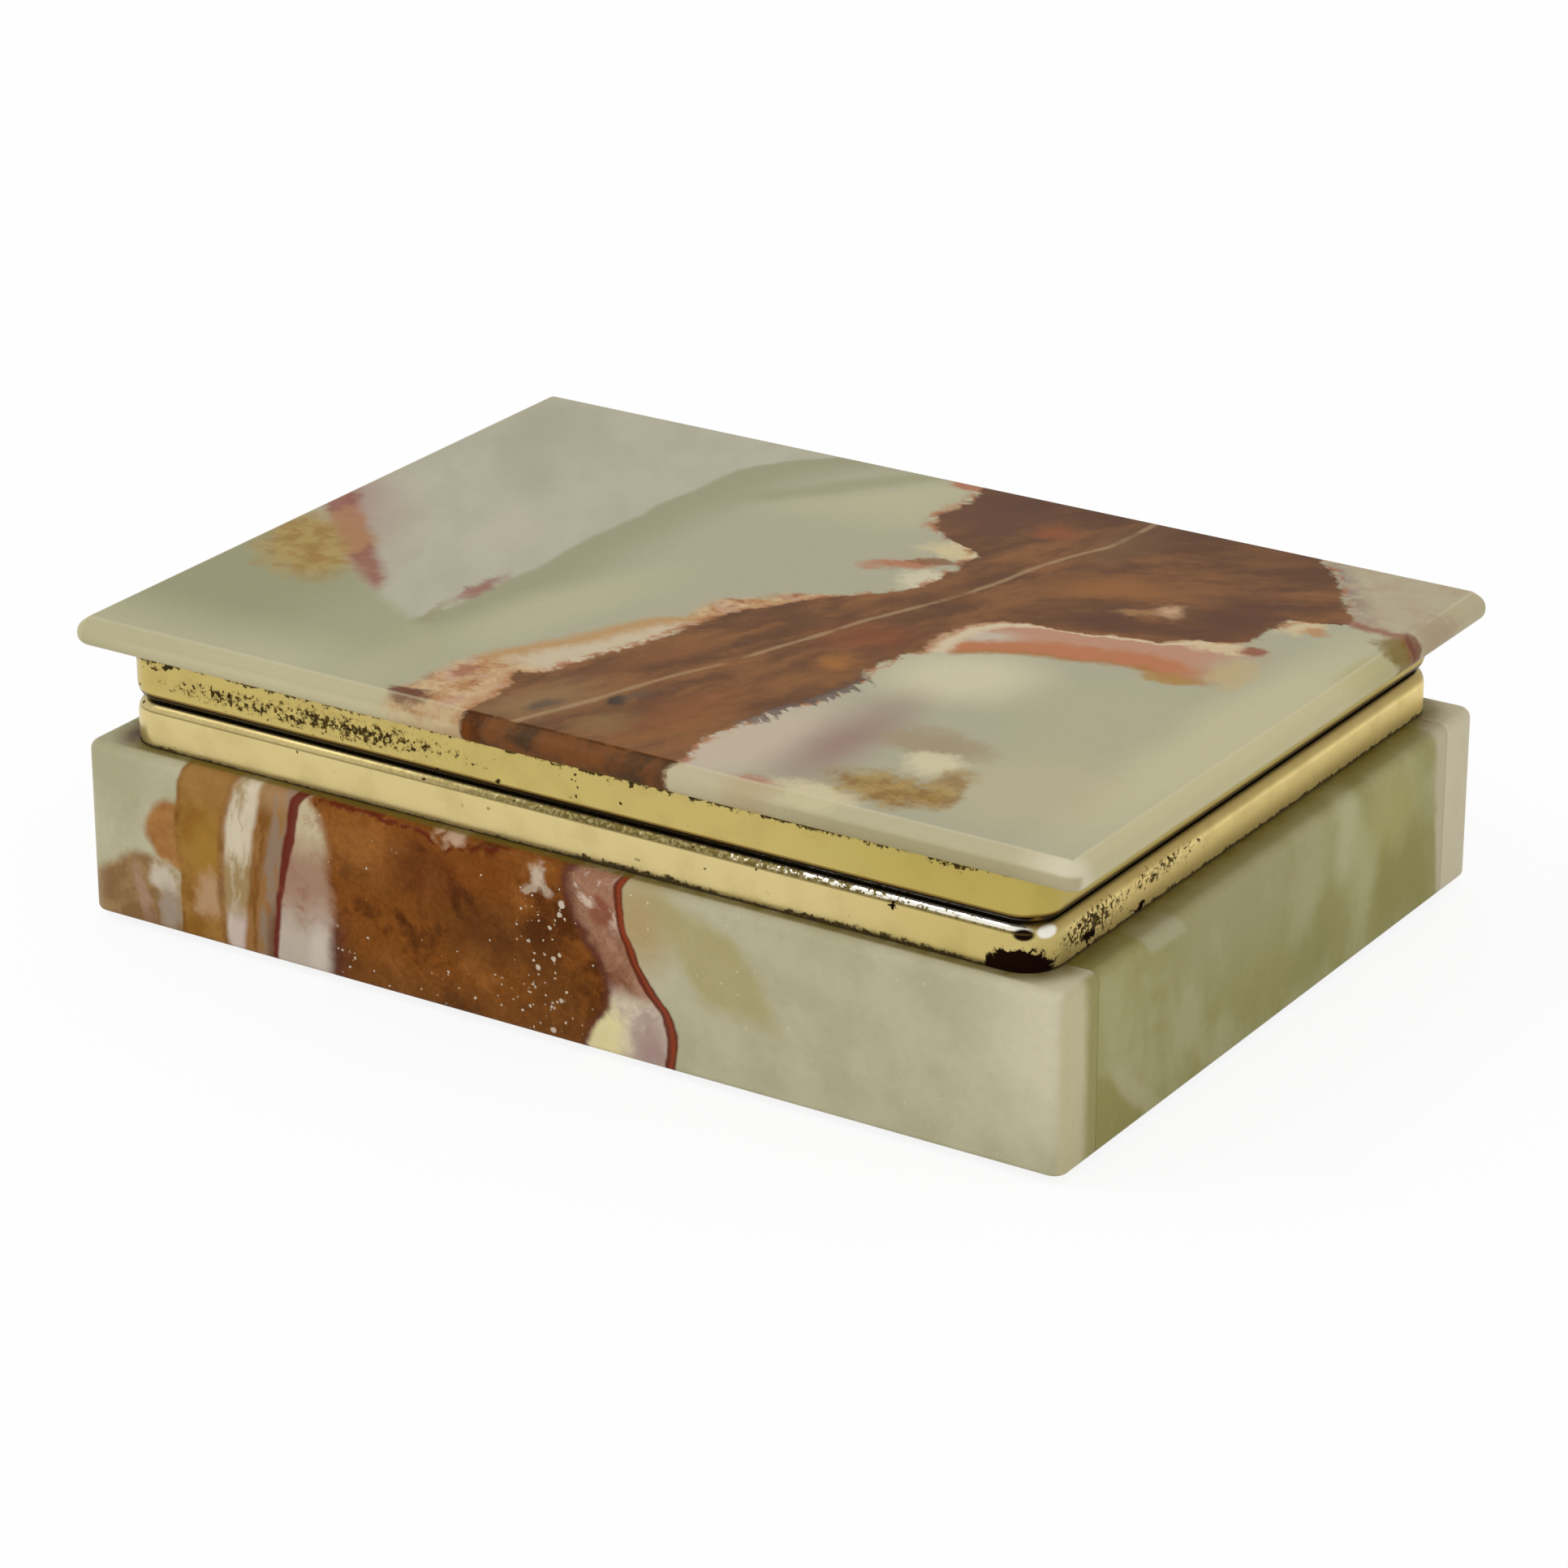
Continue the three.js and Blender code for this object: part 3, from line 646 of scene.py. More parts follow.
    # Maroon border, pink field and a cream pool, then the second red line
    endAway, endMask = after("amberEnd", 0.9, x, z)
    pinkTone = lay(tint(128, 82, 58), tint(166, 124, 98), soft(lumps, 0.36, 0.62))
    pinkTone = lay(pinkTone, tint(212, 188, 168), soft(lumps, 0.5, 0.38) * soft(calmZ, 17.0, 23.0))
    pinkTone = spot(pinkTone, tint(128, 70, 48), (8.6, 22.4), (2.0, 2.6), 0, 0.85, 0.36)
    pinkTone = lay(tint(94, 52, 38), pinkTone, soft(endAway + lumps * 3.0, 1.8, 4.2))
    pinkTone = mottled(pinkTone, grain, 0.4)
    colour = lay(colour, pinkTone, endMask)
    low = soft(z, 12.5, 9.0) * soft(endAway, 0.2, 1.8)
    pool = lay(tint(208, 195, 170), tint(184, 164, 148), soft(lumps, 0.42, 0.62))
    pool = lay(pool, tint(160, 132, 126), patch(flat, (17, 4.5), (3.0, 4.5), -10, (1.6, 0.1)) * 0.85)
    pool = spot(pool, tint(222, 211, 154), (8.5, 4), (4.6, 5.0), 0, 0.85, 0.42)
    colour = lay(colour, pool, low)
    secondAway, secondMask = after("secondRed", 0.4)
    right = lay(pale, tint(172, 148, 102), patch(calmFlat, (15, 22), (6, 8), 0, (1.4, 0.2)) * 0.9)
    slant = calmX + (calmZ - 18.0) * 0.55 + (lumps - 0.5) * 3.0
    olive = soft(slant, 19.0, 23.0) * soft(slant, 35.0, 31.0)
    olive = olive * soft(calmZ + calmX * 0.12, 13.5, 17.5) * soft(calmZ + calmX * 0.25, 32.5, 29.0)
    right = lay(right, tint(166, 153, 102), olive * 0.75)
    colour = lay(colour, right, secondMask)
    secondCore = soft(abs(secondAway - 0.15) + lumps * 0.5, 0.8, 0.3)
    secondTone = lay(tint(94, 36, 18), tint(134, 48, 16), secondCore)
    secondHalf = 0.56 + soft(calmZ, 24.0, 8.0) * 0.2 + (lumps - 0.5) * 0.5
    colour = lay(colour, secondTone, soft(abs(secondAway) - secondHalf, 0.35, -0.15) * 0.95)

    # Stain and pale swirl in the lower left corner
    stainUp = course(x, frontOnyx["stainTop"], frontOnyx["wide"]) - z
    stain = lay(tint(124, 86, 44), tint(154, 120, 76), soft(clouds, 0.36, 0.6))
    stain = lay(stain, tint(164, 146, 118), soft(calmX, -76.0, -80.0) * 0.6)
    leftOfOchre = 1 - ochreMask
    colour = lay(colour, stain, soft(stainUp, -0.8, 1.6) * leftOfOchre * (1 - lobe) * 0.9)
    swirl = spot(colour, tint(198, 186, 166), (-66.4, 9.0), (2.8, 2.2), 0, 0.9, 0.36)
    swirl = spot(swirl, tint(158, 142, 126), (-66.0, 4.5), (2.2, 4.6), 0, 0.85, 0.4)
    swirl = spot(swirl, tint(172, 138, 120), (-70.8, 6), (1.2, 4.6), 10, 0.6, 0.42)
    colour = lay(colour, swirl, leftOfOchre)

    # White specks and a white crust in the amber
    chain = patch(calmFlat, (-1, 11), (5, 12), 0, (1.4, 0.1))
    belt = larger(
        patch(calmFlat, (-8, 5), (16, 5), 0, (1.4, 0.1)),
        patch(calmFlat, (-34, 5), (7, 5), 0, (1.4, 0.1)),
    )
    speck = larger(
        dots(face, 0.9, 0.24, chain * 0.45 + belt * 0.5),
        dots(face, 1.8, 0.46, chain * 0.65 + belt * 0.2),
        dots(face, 3.1, 0.62, chain * 0.8),
        dots(face, 1.3, 0.2, soft(calmX, -64.0, -60.0) * 0.14),
    )
    whiteSpots = speck * amberMask
    colour = lay(colour, tint(208, 194, 172), whiteSpots * 0.85)
    colour = spot(colour, tint(202, 186, 164), (-1.8, 24.4), (1.5, 1.8), 0, 0.8, 0.34)
    colour = spot(colour, tint(190, 170, 146), (-3.0, 23.0), (1.4, 0.9), 30, 0.7, 0.34)
    colour = spot(colour, tint(190, 170, 146), (-0.4, 22.8), (1.3, 0.9), -30, 0.7, 0.34)

    # The right end takes on the green of its neighbour
    endFace = soft(plainX, 78.6, 79.8)
    endTone = lay(tint(188, 178, 140), tint(186, 176, 138), soft(calmZ, 16.0, 4.0) * 0.8)
    colour = lay(colour, endTone, endFace * 0.8)
    colour = lay(colour, tint(148, 142, 92), endFace * soft(calmY, -54.6, -51.6))
    colour = mottled(colour, grain, 0.16)
    polishedStone(wire, place, besideFrame(place, colour), grain, whiteSpots * 0.8)
    return look


# Green onyx of the side walls: across is y and up is z
def greenOnyxLook():
    look, wire = newLook("greenOnyx")
    place = placeOf(wire)
    calm = stirred(place, 14.0, 5.0)
    y, z = parts(calm)[1:]
    side = joined(*parts(stirred(place, 7.0, 6.0))[1:])
    veil = streaks(calm, (8.0, 7.0, 26.0), (0.25, 0, 0), 2.5)
    thin = streaks(calm, (4.0, 3.0, 18.0), (-0.6, 0, 0), 2.5)
    veil = veil * 0.35 + cloud(calm, 15.0, 4.0) * 0.65
    colour = lay(tint(146, 141, 88), tint(162, 157, 114), soft(veil, 0.4, 0.6))
    colour = lay(colour, tint(160, 155, 118), soft(abs(y + 12.0), 26.0, 8.0) * soft(z, 6.0, 22.0) * 0.6)
    colour = lay(colour, tint(138, 132, 72), patch(side, (36, 8), (13, 9), 0, (1.4, 0.3)) * 0.75)
    diagonal = y + (z - 3.0) * 1.15
    colour = lay(colour, tint(142, 136, 80), soft(diagonal, -37.0, -39.5) * soft(z, 14.5, 11.5))
    ridge = soft(abs(diagonal + 35.5), 3.4, 0.4) * soft(z, 15.0, 10.0)
    colour = lay(colour, tint(170, 164, 126), ridge * 0.6)
    crystal = soft(abs(y + 32.0 + (z - 26.0) * 0.9), 5.6, 4.0) * soft(z, 23.8, 25.4)
    colour = lay(colour, tint(172, 166, 138), crystal * 0.6)
    colour = lay(colour, tint(178, 174, 134), patch(side, (20, 22), (4.5, 8), 0, (1.4, 0.3)) * 0.8)
    colour = lay(colour, tint(163, 158, 98), patch(side, (33, 20), (9, 7), 0, (1.4, 0.3)) * 0.7)
    colour = lay(colour, tint(170, 167, 122), patch(side, (25, 13), (4, 9), 10, (1.5, 0.2)) * 0.8)
    colour = lay(colour, tint(166, 162, 118), patch(side, (-46, 20), (6, 8), 0, (1.5, 0.2)) * 0.7)
    colour = lay(colour, tint(136, 134, 82), patch(side, (10, 6), (6, 6), 0, (1.5, 0.2)) * 0.7)
    colour = lay(colour, tint(166, 160, 116), soft(thin, 0.56, 0.72) * 0.16)
    colour = lay(colour, tint(184, 175, 146), soft(abs(y) + z * 0.1, 48.2, 50.0) * soft(y, 0.0, 1.0))
    grain = cloud(stirred(place, 3.0, 1.5), 1.4, 4.0)
    colour = mottled(colour, grain, 0.1)
    polishedStone(wire, place, besideFrame(place, colour), grain, grain * 0.1)
    return look


# Pale onyx of the back wall and the floor
def paleOnyxLook():
    look, wire = newLook("paleOnyx")
    place = placeOf(wire)
    calm = stirred(place, 16.0, 7.0)
    edge = stirred(calm, 2.4, 1.6, 5.0)
    x = parts(calm)[0]
    veil = streaks(edge, (7.0, 6.0, 22.0), (0, 0.3, 0), 5.0, 0.6)
    clouds = cloud(calm, 20.0, 5.0)
    colour = lay(tint(166, 160, 128), tint(184, 176, 146), soft(clouds, 0.36, 0.64))
    colour = lay(colour, tint(150, 146, 108), soft(veil, 0.52, 0.68) * 0.7)
    drift = streaks(stirred(calm, 5.0, 2.0), (60.0, 44.0, 26.0), (0, 0.5, 0.4), 2.0, 0.4)
    vein = abs(drift - 0.47)
    colour = lay(colour, tint(188, 174, 142), soft(vein, 0.05, 0.0) * 0.7)
    colour = lay(colour, tint(150, 112, 70), soft(vein, 0.012, 0.002) * soft(clouds, 0.42, 0.6) * 0.75)
    colour = lay(colour, tint(200, 191, 164), soft(abs(x), 68.0, 78.0) * 0.9)
    grain = cloud(edge, 1.4, 4.0)
    colour = mottled(colour, grain, 0.14)
    polishedStone(wire, place, besideFrame(place, colour), grain, grain * 0.1)
    return look


# Polished brass of the frames, with painted shade, painted reflections and a painted highlight along the
# seam, a little tarnished brass, and corrosion where it shows
brassMarks = {
    "lowEdge": rimLow.z,
    "highEdge": lidRimHigh.z,
    "seam": (rimHigh.z + lidRimLow.z) / 2,
    "index": 1.05,
    "lowChips": [(-85, 0.2), (-74, 0.9), (-66, 0.4), (-40, 0.25), (0, 0.4), (4, 0.9), (22, 0.8), (27, 0.45),
                 (34, 0.45), (40, 0.8), (58, 0.7), (64, 0.5), (85, 0.5)],
    "highChips": [(-85, 0.6), (-72, 1.4), (-66, 1.4), (-63, 0.6), (-54, 0.9), (-36, 1.0), (-30, 0.7),
                  (-4, 0.9), (14, 1.2), (30, 1.0), (58, 1.0), (62, 1.5), (66, 0.8), (85, 0.4)],
}


def polishedBrassLook():
    look, wire = newLook("polishedBrass")
    place = placeOf(wire)
    x, y, z = parts(place)
    wide = (-85.0, 85.0)
    worn = stirred(place, 1.4, 1.3, 4.0)
    front = joined(x, z)
    right = joined(y, z)
    onFront = soft(y, -54.0, -55.4)
    onRight = soft(x, 71.8, 73.4)
    grit = cloud(worn, 0.55, 3.0, 0.6)
    lumps = cloud(worn, 0.8, 4.0, 0.62)

    # Dense flecks on the left of the upper frame and by the near corner, single ones all round
    dense = larger(
        patch(front, (-36, 37.8), (25, 2.4), 0, (1.3, 0.0)) * onFront,
        patch(front, (-57, 37.6), (13, 1.8), 0, (1.4, 0.1)) * onFront * 0.8,
        patch(right, (-43, 30.4), (10, 2.8), 0, (1.4, 0.1)) * onRight * 0.95,
        patch(right, (-26, 31.4), (14, 1.8), 0, (1.4, 0.1)) * onRight * 0.7,
    )
    flecks = soft(lumps + dense * 0.22, 0.66, 0.74) * soft(dense, 0.02, 0.1)
    fine = soft(grit + dense * 0.26, 0.76, 0.8)
    few = larger(
        patch(front, (2.6, 37.6), (2.2, 1.6), 0, (1.5, 0.2)),
        patch(front, (10.6, 37.2), (1.4, 1.0), 0, (1.5, 0.2)),
    )
    single = larger(
        dots(worn, 6.0, 0.5, 0.4),
        dots(worn, 2.6, 0.3, 0.24),
        dots(worn, 0.9, 0.32, few * onFront * 0.6),
    )

    # A dark line with chips where the frames meet the stone
    chipNoise = soft(cloud(worn, 1.6, 5.0, 0.75), 0.4, 0.72)
    lowReach = course(x, brassMarks["lowChips"], wide, (-2.0, 2.0)) * (0.4 + chipNoise)
    highReach = course(x, brassMarks["highChips"], wide, (-2.0, 2.0)) * (0.4 + chipNoise * 1.2)
    chips = larger(
        soft(z - brassMarks["lowEdge"] - lowReach, 0.25, -0.1),
        soft(brassMarks["highEdge"] - z - highReach, 0.25, -0.1),
    )

    # Bare black patches, the largest round the near corner of the lower frame
    ragged = stirred(stirred(place, 2.6, 4.2), 0.9, 2.6, 5.0)
    bare = larger(
        patch(ragged, (71.4, -55.4, 27.9), (4.6, 4.6, 3.0), 0, (1.05, 0.9)),
        patch(ragged, (74.6, -44, 28.6), (2.0, 2.2, 1.2), 0, (1.1, 0.8)),
        patch(ragged, (74.6, -31, 27.8), (2.0, 2.6, 0.6), 0, (1.1, 0.8)),
        patch(ragged, (52, -56.2, 32.6), (1.0, 2.0, 0.6), 0, (1.1, 0.8)),
    )
    corroded = larger(flecks, fine, single, chips, bare)

    # Lines along the seam: a painted amber reflection, painted black shade, then a narrow strip of tarnished
    # brass and painted reflection, with a painted highlight that grows towards the corner
    stain = soft(cloud(place, 5.0, 4.0), 0.4, 0.75)
    seamAway = z - brassMarks["seam"]
    upper = soft(seamAway, -0.1, 0.1)
    # painted reflection: the upper frame is painted darker than the lower
    tone = lay(tint(214, 195, 136), tint(198, 178, 106), upper)
    tone = lay(tone, tint(186, 167, 90), soft(x, 30.0, 62.0) * upper)
    tone = lay(tone, tint(196, 177, 108), soft(x, 35.0, 64.0) * (1 - upper) * 0.8)
    # painted light: the right flats of the lower frame are lighter
    tone = lay(tone, tint(242, 218, 146), onRight * soft(seamAway, -1.2, -2.0) * soft(y, -52.0, -46.0))
    tone = lay(tone, tint(168, 144, 80), stain * 0.2)
    tone = lay(tone, tint(146, 122, 56), soft(dense, 0.1, 0.7) * soft(lumps, 0.42, 0.62) * 0.5)
    # painted dark reflection on the lower turn of the upper frame
    tone = lay(tone, tint(124, 92, 28), upper * soft(seamAway, 1.65, 1.4) * 0.85)
    # painted dark reflection of the lid's underside on the shoulders along the sides
    onSides = soft(abs(x), 71.8, 73.6)
    amber = soft(seamAway, -2.1, -0.6) * (1 - upper) * onSides
    tone = lay(tone, tint(132, 102, 44), amber * 0.55)
    strip = soft(seamAway, -1.24, -1.14) * soft(seamAway, -0.22, -0.32) * (1 - onSides)
    within = soft(smaller(rimHigh.x - abs(x), rimHigh.y - abs(y)), 1.2, 2.0)
    strip = strip * (0.3 + soft(x, -46.0, 4.0) * 0.7) * (1 - within)
    # painted highlight on the front strip, growing towards the near corner
    paintedHighlight = strip * soft(y, -48.0, -54.0) * soft(seamAway, -1.0, -0.9)
    paintedHighlight = paintedHighlight * soft(grit + soft(x, 6.0, 76.0) * 0.36, 0.68, 0.76)
    tone = lay(tone, tint(132, 108, 58), soft(abs(seamAway), 0.5, 0.3) * within * (0.4 + stain * 0.4))
    # the strip: tarnished brass with a painted dark reflection and a grey painted highlight
    tone = lay(tone, lay(tint(104, 90, 48), tint(152, 138, 92), soft(grit, 0.42, 0.6)), strip)
    tone = lay(tone, tint(238, 234, 220), paintedHighlight)
    # a painted highlight by the near corner, and a dark spot beside it
    tone = lay(tone, tint(238, 234, 220), patch(place, (74.2, -53.4, 32.8), (1.2, 1.6, 0.8), 0, (1.3, 0.8)))
    tone = lay(tone, tint(24, 14, 6), patch(place, (71.8, -55.4, 32.5), (1.3, 1.3, 0.7), 0, (1.3, 0.8)))
    tone = lay(tone, tint(92, 72, 34), soft(abs(seamAway + 1.24), 0.16, 0.06) * (1 - onSides) * 0.6)
    # painted shade: black on the outer faces around the seam
    seamShade = soft(seamAway, -0.32, -0.2) * soft(seamAway, 1.25, 1.1) * (1 - within)
    tone = lay(tone, tint(36, 23, 8), seamShade)
    crustTone = lay(tint(26, 12, 6), tint(84, 62, 24), soft(grit, 0.44, 0.7) * (1 - bare))
    colour = lay(tone, crustTone, larger(corroded * 0.94, bare))
    # tarnished brass and painted reflection on the strip, outside the painted highlight
    tarnishAndReflection = strip * (1 - paintedHighlight)
    surface(wire, {
        "Base Color": colour,
        "Metallic": 0.86 - corroded * 0.7,
        "Roughness": 0.24 + stain * 0.08 + onRight * 0.14 - paintedHighlight * 0.14 + tarnishAndReflection * 0.2 + corroded * 0.4,
        "Normal": bumped(cloud(place, 9.0, 1.0) * 0.3 + grit * tarnishAndReflection * 0.4 - corroded, 0.3, 0.1),
        "IOR": brassMarks["index"],
    })
    return look


# Satin brass of the hinge
def hingeBrassLook():
    look, wire = newLook("hingeBrass")
    place = placeOf(wire)
    stain = cloud(place, 2.4, 4.0)
    rings = streaks(place, (0.25, 4.0, 4.0), (0, 0, 0), 3.0)
    colour = lay(tint(186, 160, 92), tint(120, 92, 46), soft(stain, 0.48, 0.72))
    dark = soft(cloud(place, 0.7, 3.0), 0.66, 0.74)
    colour = lay(colour, tint(48, 30, 18), dark)
    surface(wire, {
        "Base Color": colour,
        "Metallic": 1 - dark * 0.7,
        "Roughness": 0.24 + stain * 0.2 + dark * 0.3,
        "Normal": bumped(rings * 0.5 - dark, 0.25, 0.08),
    })
    return look


# Dark green felt of the pads
def feltLook():
    look, wire = newLook("padFelt")
    place = placeOf(wire)
    fibres = cloud(stirred(place, 1.0, 2.0), 0.35, 5.0, 0.7)
    tufts = cloud(place, 1.8, 3.0)
    colour = lay(tint(38, 60, 44), tint(70, 92, 72), soft(fibres, 0.35, 0.68))
    colour = dim(colour, 0.8 + tufts * 0.4)
    surface(wire, {
        "Base Color": colour,
        "Roughness": 0.95,
        "Normal": bumped(fibres, 0.6, 0.2),
        "Sheen Weight": 0.3,
    })
    return look


def levelEdges(bm, height):  # edges that lie at one height
    return [edge for edge in bm.edges if all(abs(v.co.z - height) < tiny for v in edge.verts)]


def bevelled(bm, edges, width, steps):
    return bmesh.ops.bevel(
        bm, geom=edges, offset=width, offset_type="OFFSET", segments=steps,
        profile=0.5, affect="EDGES", material=-1, clamp_overlap=False,
    )


def roundLevel(bm, height, width, drop, steps):  # rounds a top or bottom border as a quarter ellipse
    made = bevelled(bm, levelEdges(bm, height), width, steps)
    space = Matrix.Translation((0, 0, -height))
    bmesh.ops.scale(bm, vec=(1, 1, drop / width), space=space, verts=made["verts"])


def blockBetween(bm, low, high, radius, steps):  # an upright block with round corners
    made = bmesh.ops.create_cube(bm, size=1)
    bmesh.ops.scale(bm, vec=high - low, verts=made["verts"])
    bmesh.ops.translate(bm, vec=(low + high) / 2, verts=made["verts"])
    fresh = [e for e in bm.edges if all(v in made["verts"] for v in e.verts)]
    upright = [e for e in fresh if abs(e.verts[0].co.z - e.verts[1].co.z) > tiny]
    bevelled(bm, upright, radius, steps)


def cutAway(bm, point, outward):  # saws off what lies outward of a plane, and closes the cut
    everything = bm.verts[:] + bm.edges[:] + bm.faces[:]
    cut = bmesh.ops.bisect_plane(bm, geom=everything, plane_co=point, plane_no=outward, clear_outer=True)
    border = [part for part in cut["geom_cut"] if isinstance(part, bmesh.types.BMEdge)]
    bmesh.ops.holes_fill(bm, edges=border, sides=0)


def placed(bm, name):  # makes an object of what was drawn
    mesh = bpy.data.meshes.new(name)
    bm.to_mesh(mesh)
    bm.free()
    piece = bpy.data.objects.new(name, mesh)
    scene.collection.objects.link(piece)
    return piece


def finishPiece(bm, name, body, look, nodes):
    bmesh.ops.remove_doubles(bm, verts=bm.verts, dist=tiny)
    bmesh.ops.recalc_face_normals(bm, faces=bm.faces)
    bmesh.ops.scale(bm, vec=(toMetres,) * 3, verts=bm.verts)
    for face in bm.faces:
        face.smooth = True
    piece = placed(bm, name)
    piece.data.set_sharp_from_angle(angle=sharpAngle)
    piece.data.materials.append(look)
    even = piece.modifiers.new("evenShading", "WEIGHTED_NORMAL")
    even.keep_sharp = True
    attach(piece, body)
    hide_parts(*nodes)
    return piece


looks = {
    "lid": lidOnyxLook(),
    "front": frontOnyxLook(),
    "green": greenOnyxLook(),
    "pale": paleOnyxLook(),
    "brass": polishedBrassLook(),
    "hinge": hingeBrassLook(),
    "felt": feltLook(),
}
print("looks made:", ", ".join(looks))

# Base: one ground block, sawn into its four walls
baseBlock = {"corner": 2.2, "topRound": 1.5, "bottomRound": 0.9, "cornerSteps": 10, "edgeSteps": 6}
baseWalls = {
    "frontWall": ("base_front_wall", "onyx_brown", "front"),
    "backWall": ("base_back_wall", "onyx_pale", "pale"),
    "leftWall": ("base_left_wall", "onyx_green", "green"),
    "rightWall": ("base_right_wall", "onyx_green", "green"),
}
wallBoxes = [boxOf(node) for node, slot, look in baseWalls.values()]
blockLow = Vector([min(low[axis] for low, high in wallBoxes) for axis in range(3)])
blockHigh = Vector([max(high[axis] for low, high in wallBoxes) for axis in range(3)])
for name, (node, slot, look) in baseWalls.items():
    low, high = boxOf(node)
    bm = bmesh.new()
    blockBetween(bm, blockLow, blockHigh, baseBlock["corner"], baseBlock["cornerSteps"])
    roundLevel(bm, blockHigh.z, baseBlock["topRound"], baseBlock["topRound"], baseBlock["edgeSteps"])
    roundLevel(bm, blockLow.z, baseBlock["bottomRound"], baseBlock["bottomRound"], baseBlock["edgeSteps"])
    for axis in range(2):
        outward = Vector([1.0 if axis == other else 0.0 for other in range(3)])
        if low[axis] > blockLow[axis] + tiny:
            cutAway(bm, low, -outward)
        if high[axis] < blockHigh[axis] - tiny:
            cutAway(bm, high, outward)
    finishPiece(bm, name, "base", looks[look], [node])
print("walls sawn:", len(baseWalls))

# Floor of the base, with its upper arris eased
floorSlab = {"corner": 0.4, "arris": 0.3, "steps": 3}
bm = bmesh.new()
low, high = boxOf("base_floor")
blockBetween(bm, low, high, floorSlab["corner"], floorSlab["steps"])
roundLevel(bm, high.z, floorSlab["arris"], floorSlab["arris"], floorSlab["steps"])
roundLevel(bm, low.z, floorSlab["arris"], floorSlab["arris"], floorSlab["steps"])
finishPiece(bm, "floorSlab", "base", looks["pale"], ["base_floor"])

# Lid slab, with a flat bevel along its upper edges
lidSlab = {
    "corner": 2.5,
    "bevelWidth": 2.0,
    "bevelDrop": 1.5,
    "creaseRound": 0.4,
    "lowerRound": 0.8,
    "bottomRound": 1.5,
    "cornerSteps": 10,
    "edgeSteps": 6,
    "easeSteps": 3,
}
bm = bmesh.new()
low, high = boxOf("lid_slab")
blockBetween(bm, low, high, lidSlab["corner"], lidSlab["cornerSteps"])
roundLevel(bm, low.z, lidSlab["bottomRound"], lidSlab["bottomRound"], lidSlab["edgeSteps"])
roundLevel(bm, high.z, lidSlab["bevelWidth"], lidSlab["bevelDrop"], 1)
bevelled(bm, levelEdges(bm, high.z), lidSlab["creaseRound"], lidSlab["easeSteps"])
bevelFoot = levelEdges(bm, high.z - lidSlab["bevelDrop"])
bevelled(bm, bevelFoot, lidSlab["lowerRound"], lidSlab["easeSteps"])
finishPiece(bm, "lidSlab", "lid", looks["lid"], ["lid_slab"])
print("slabs shaped")

# Brass frames: a rounded outer skin and a straight mouth, bridged top and bottom
frameShape = {
    "corner": frameCorner,
    "mouthCorner": 2.0,
    "mouthEase": 0.25,
    "mouthSteps": 3,
    "shoulderWidth": 1.5,
    "shoulderDrop": 2.2,
    "cornerSteps": 14,
    "edgeSteps": 8,
    "grooveGap": 0.3,
    "grooveEnds": 0.4,
    "grooveSides": 64,
}
mouthLow = Vector((boxOf("base_left_wall")[1].x, boxOf("base_front_wall")[1].y, 0))
mouthHigh = Vector((boxOf("base_right_wall")[0].x, boxOf("base_back_wall")[0].y, 0))
pinLow, pinHigh = boxOf("hinge_pin")
hingeAxis = (pinLow + pinHigh) / 2
tubeLow, tubeHigh = boxOf("hinge_knuckle_1")
tubeRadius = (tubeHigh.z - tubeLow.z) / 2


def capsOff(bm, height):  # takes off the flat faces at one height
    flat = [f for f in bm.faces if all(abs(v.co.z - height) < tiny for v in f.verts)]
    bmesh.ops.delete(bm, geom=flat, context="FACES_ONLY")


def grooveCutter():  # the round bar that the hinge groove is milled with
    bm = bmesh.new()
    length = pinHigh.x - pinLow.x + 2 * frameShape["grooveEnds"]
    radius = tubeRadius + frameShape["grooveGap"]
    bmesh.ops.create_cone(
        bm, cap_ends=True, segments=frameShape["grooveSides"], radius1=radius, radius2=radius, depth=length
    )
    bmesh.ops.rotate(bm, cent=(0, 0, 0), matrix=Matrix.Rotation(math.pi / 2, 3, "Y"), verts=bm.verts)
    bmesh.ops.translate(bm, vec=hingeAxis, verts=bm.verts)
    bmesh.ops.scale(bm, vec=(toMetres,) * 3, verts=bm.verts)
    return placed(bm, "grooveCutter")


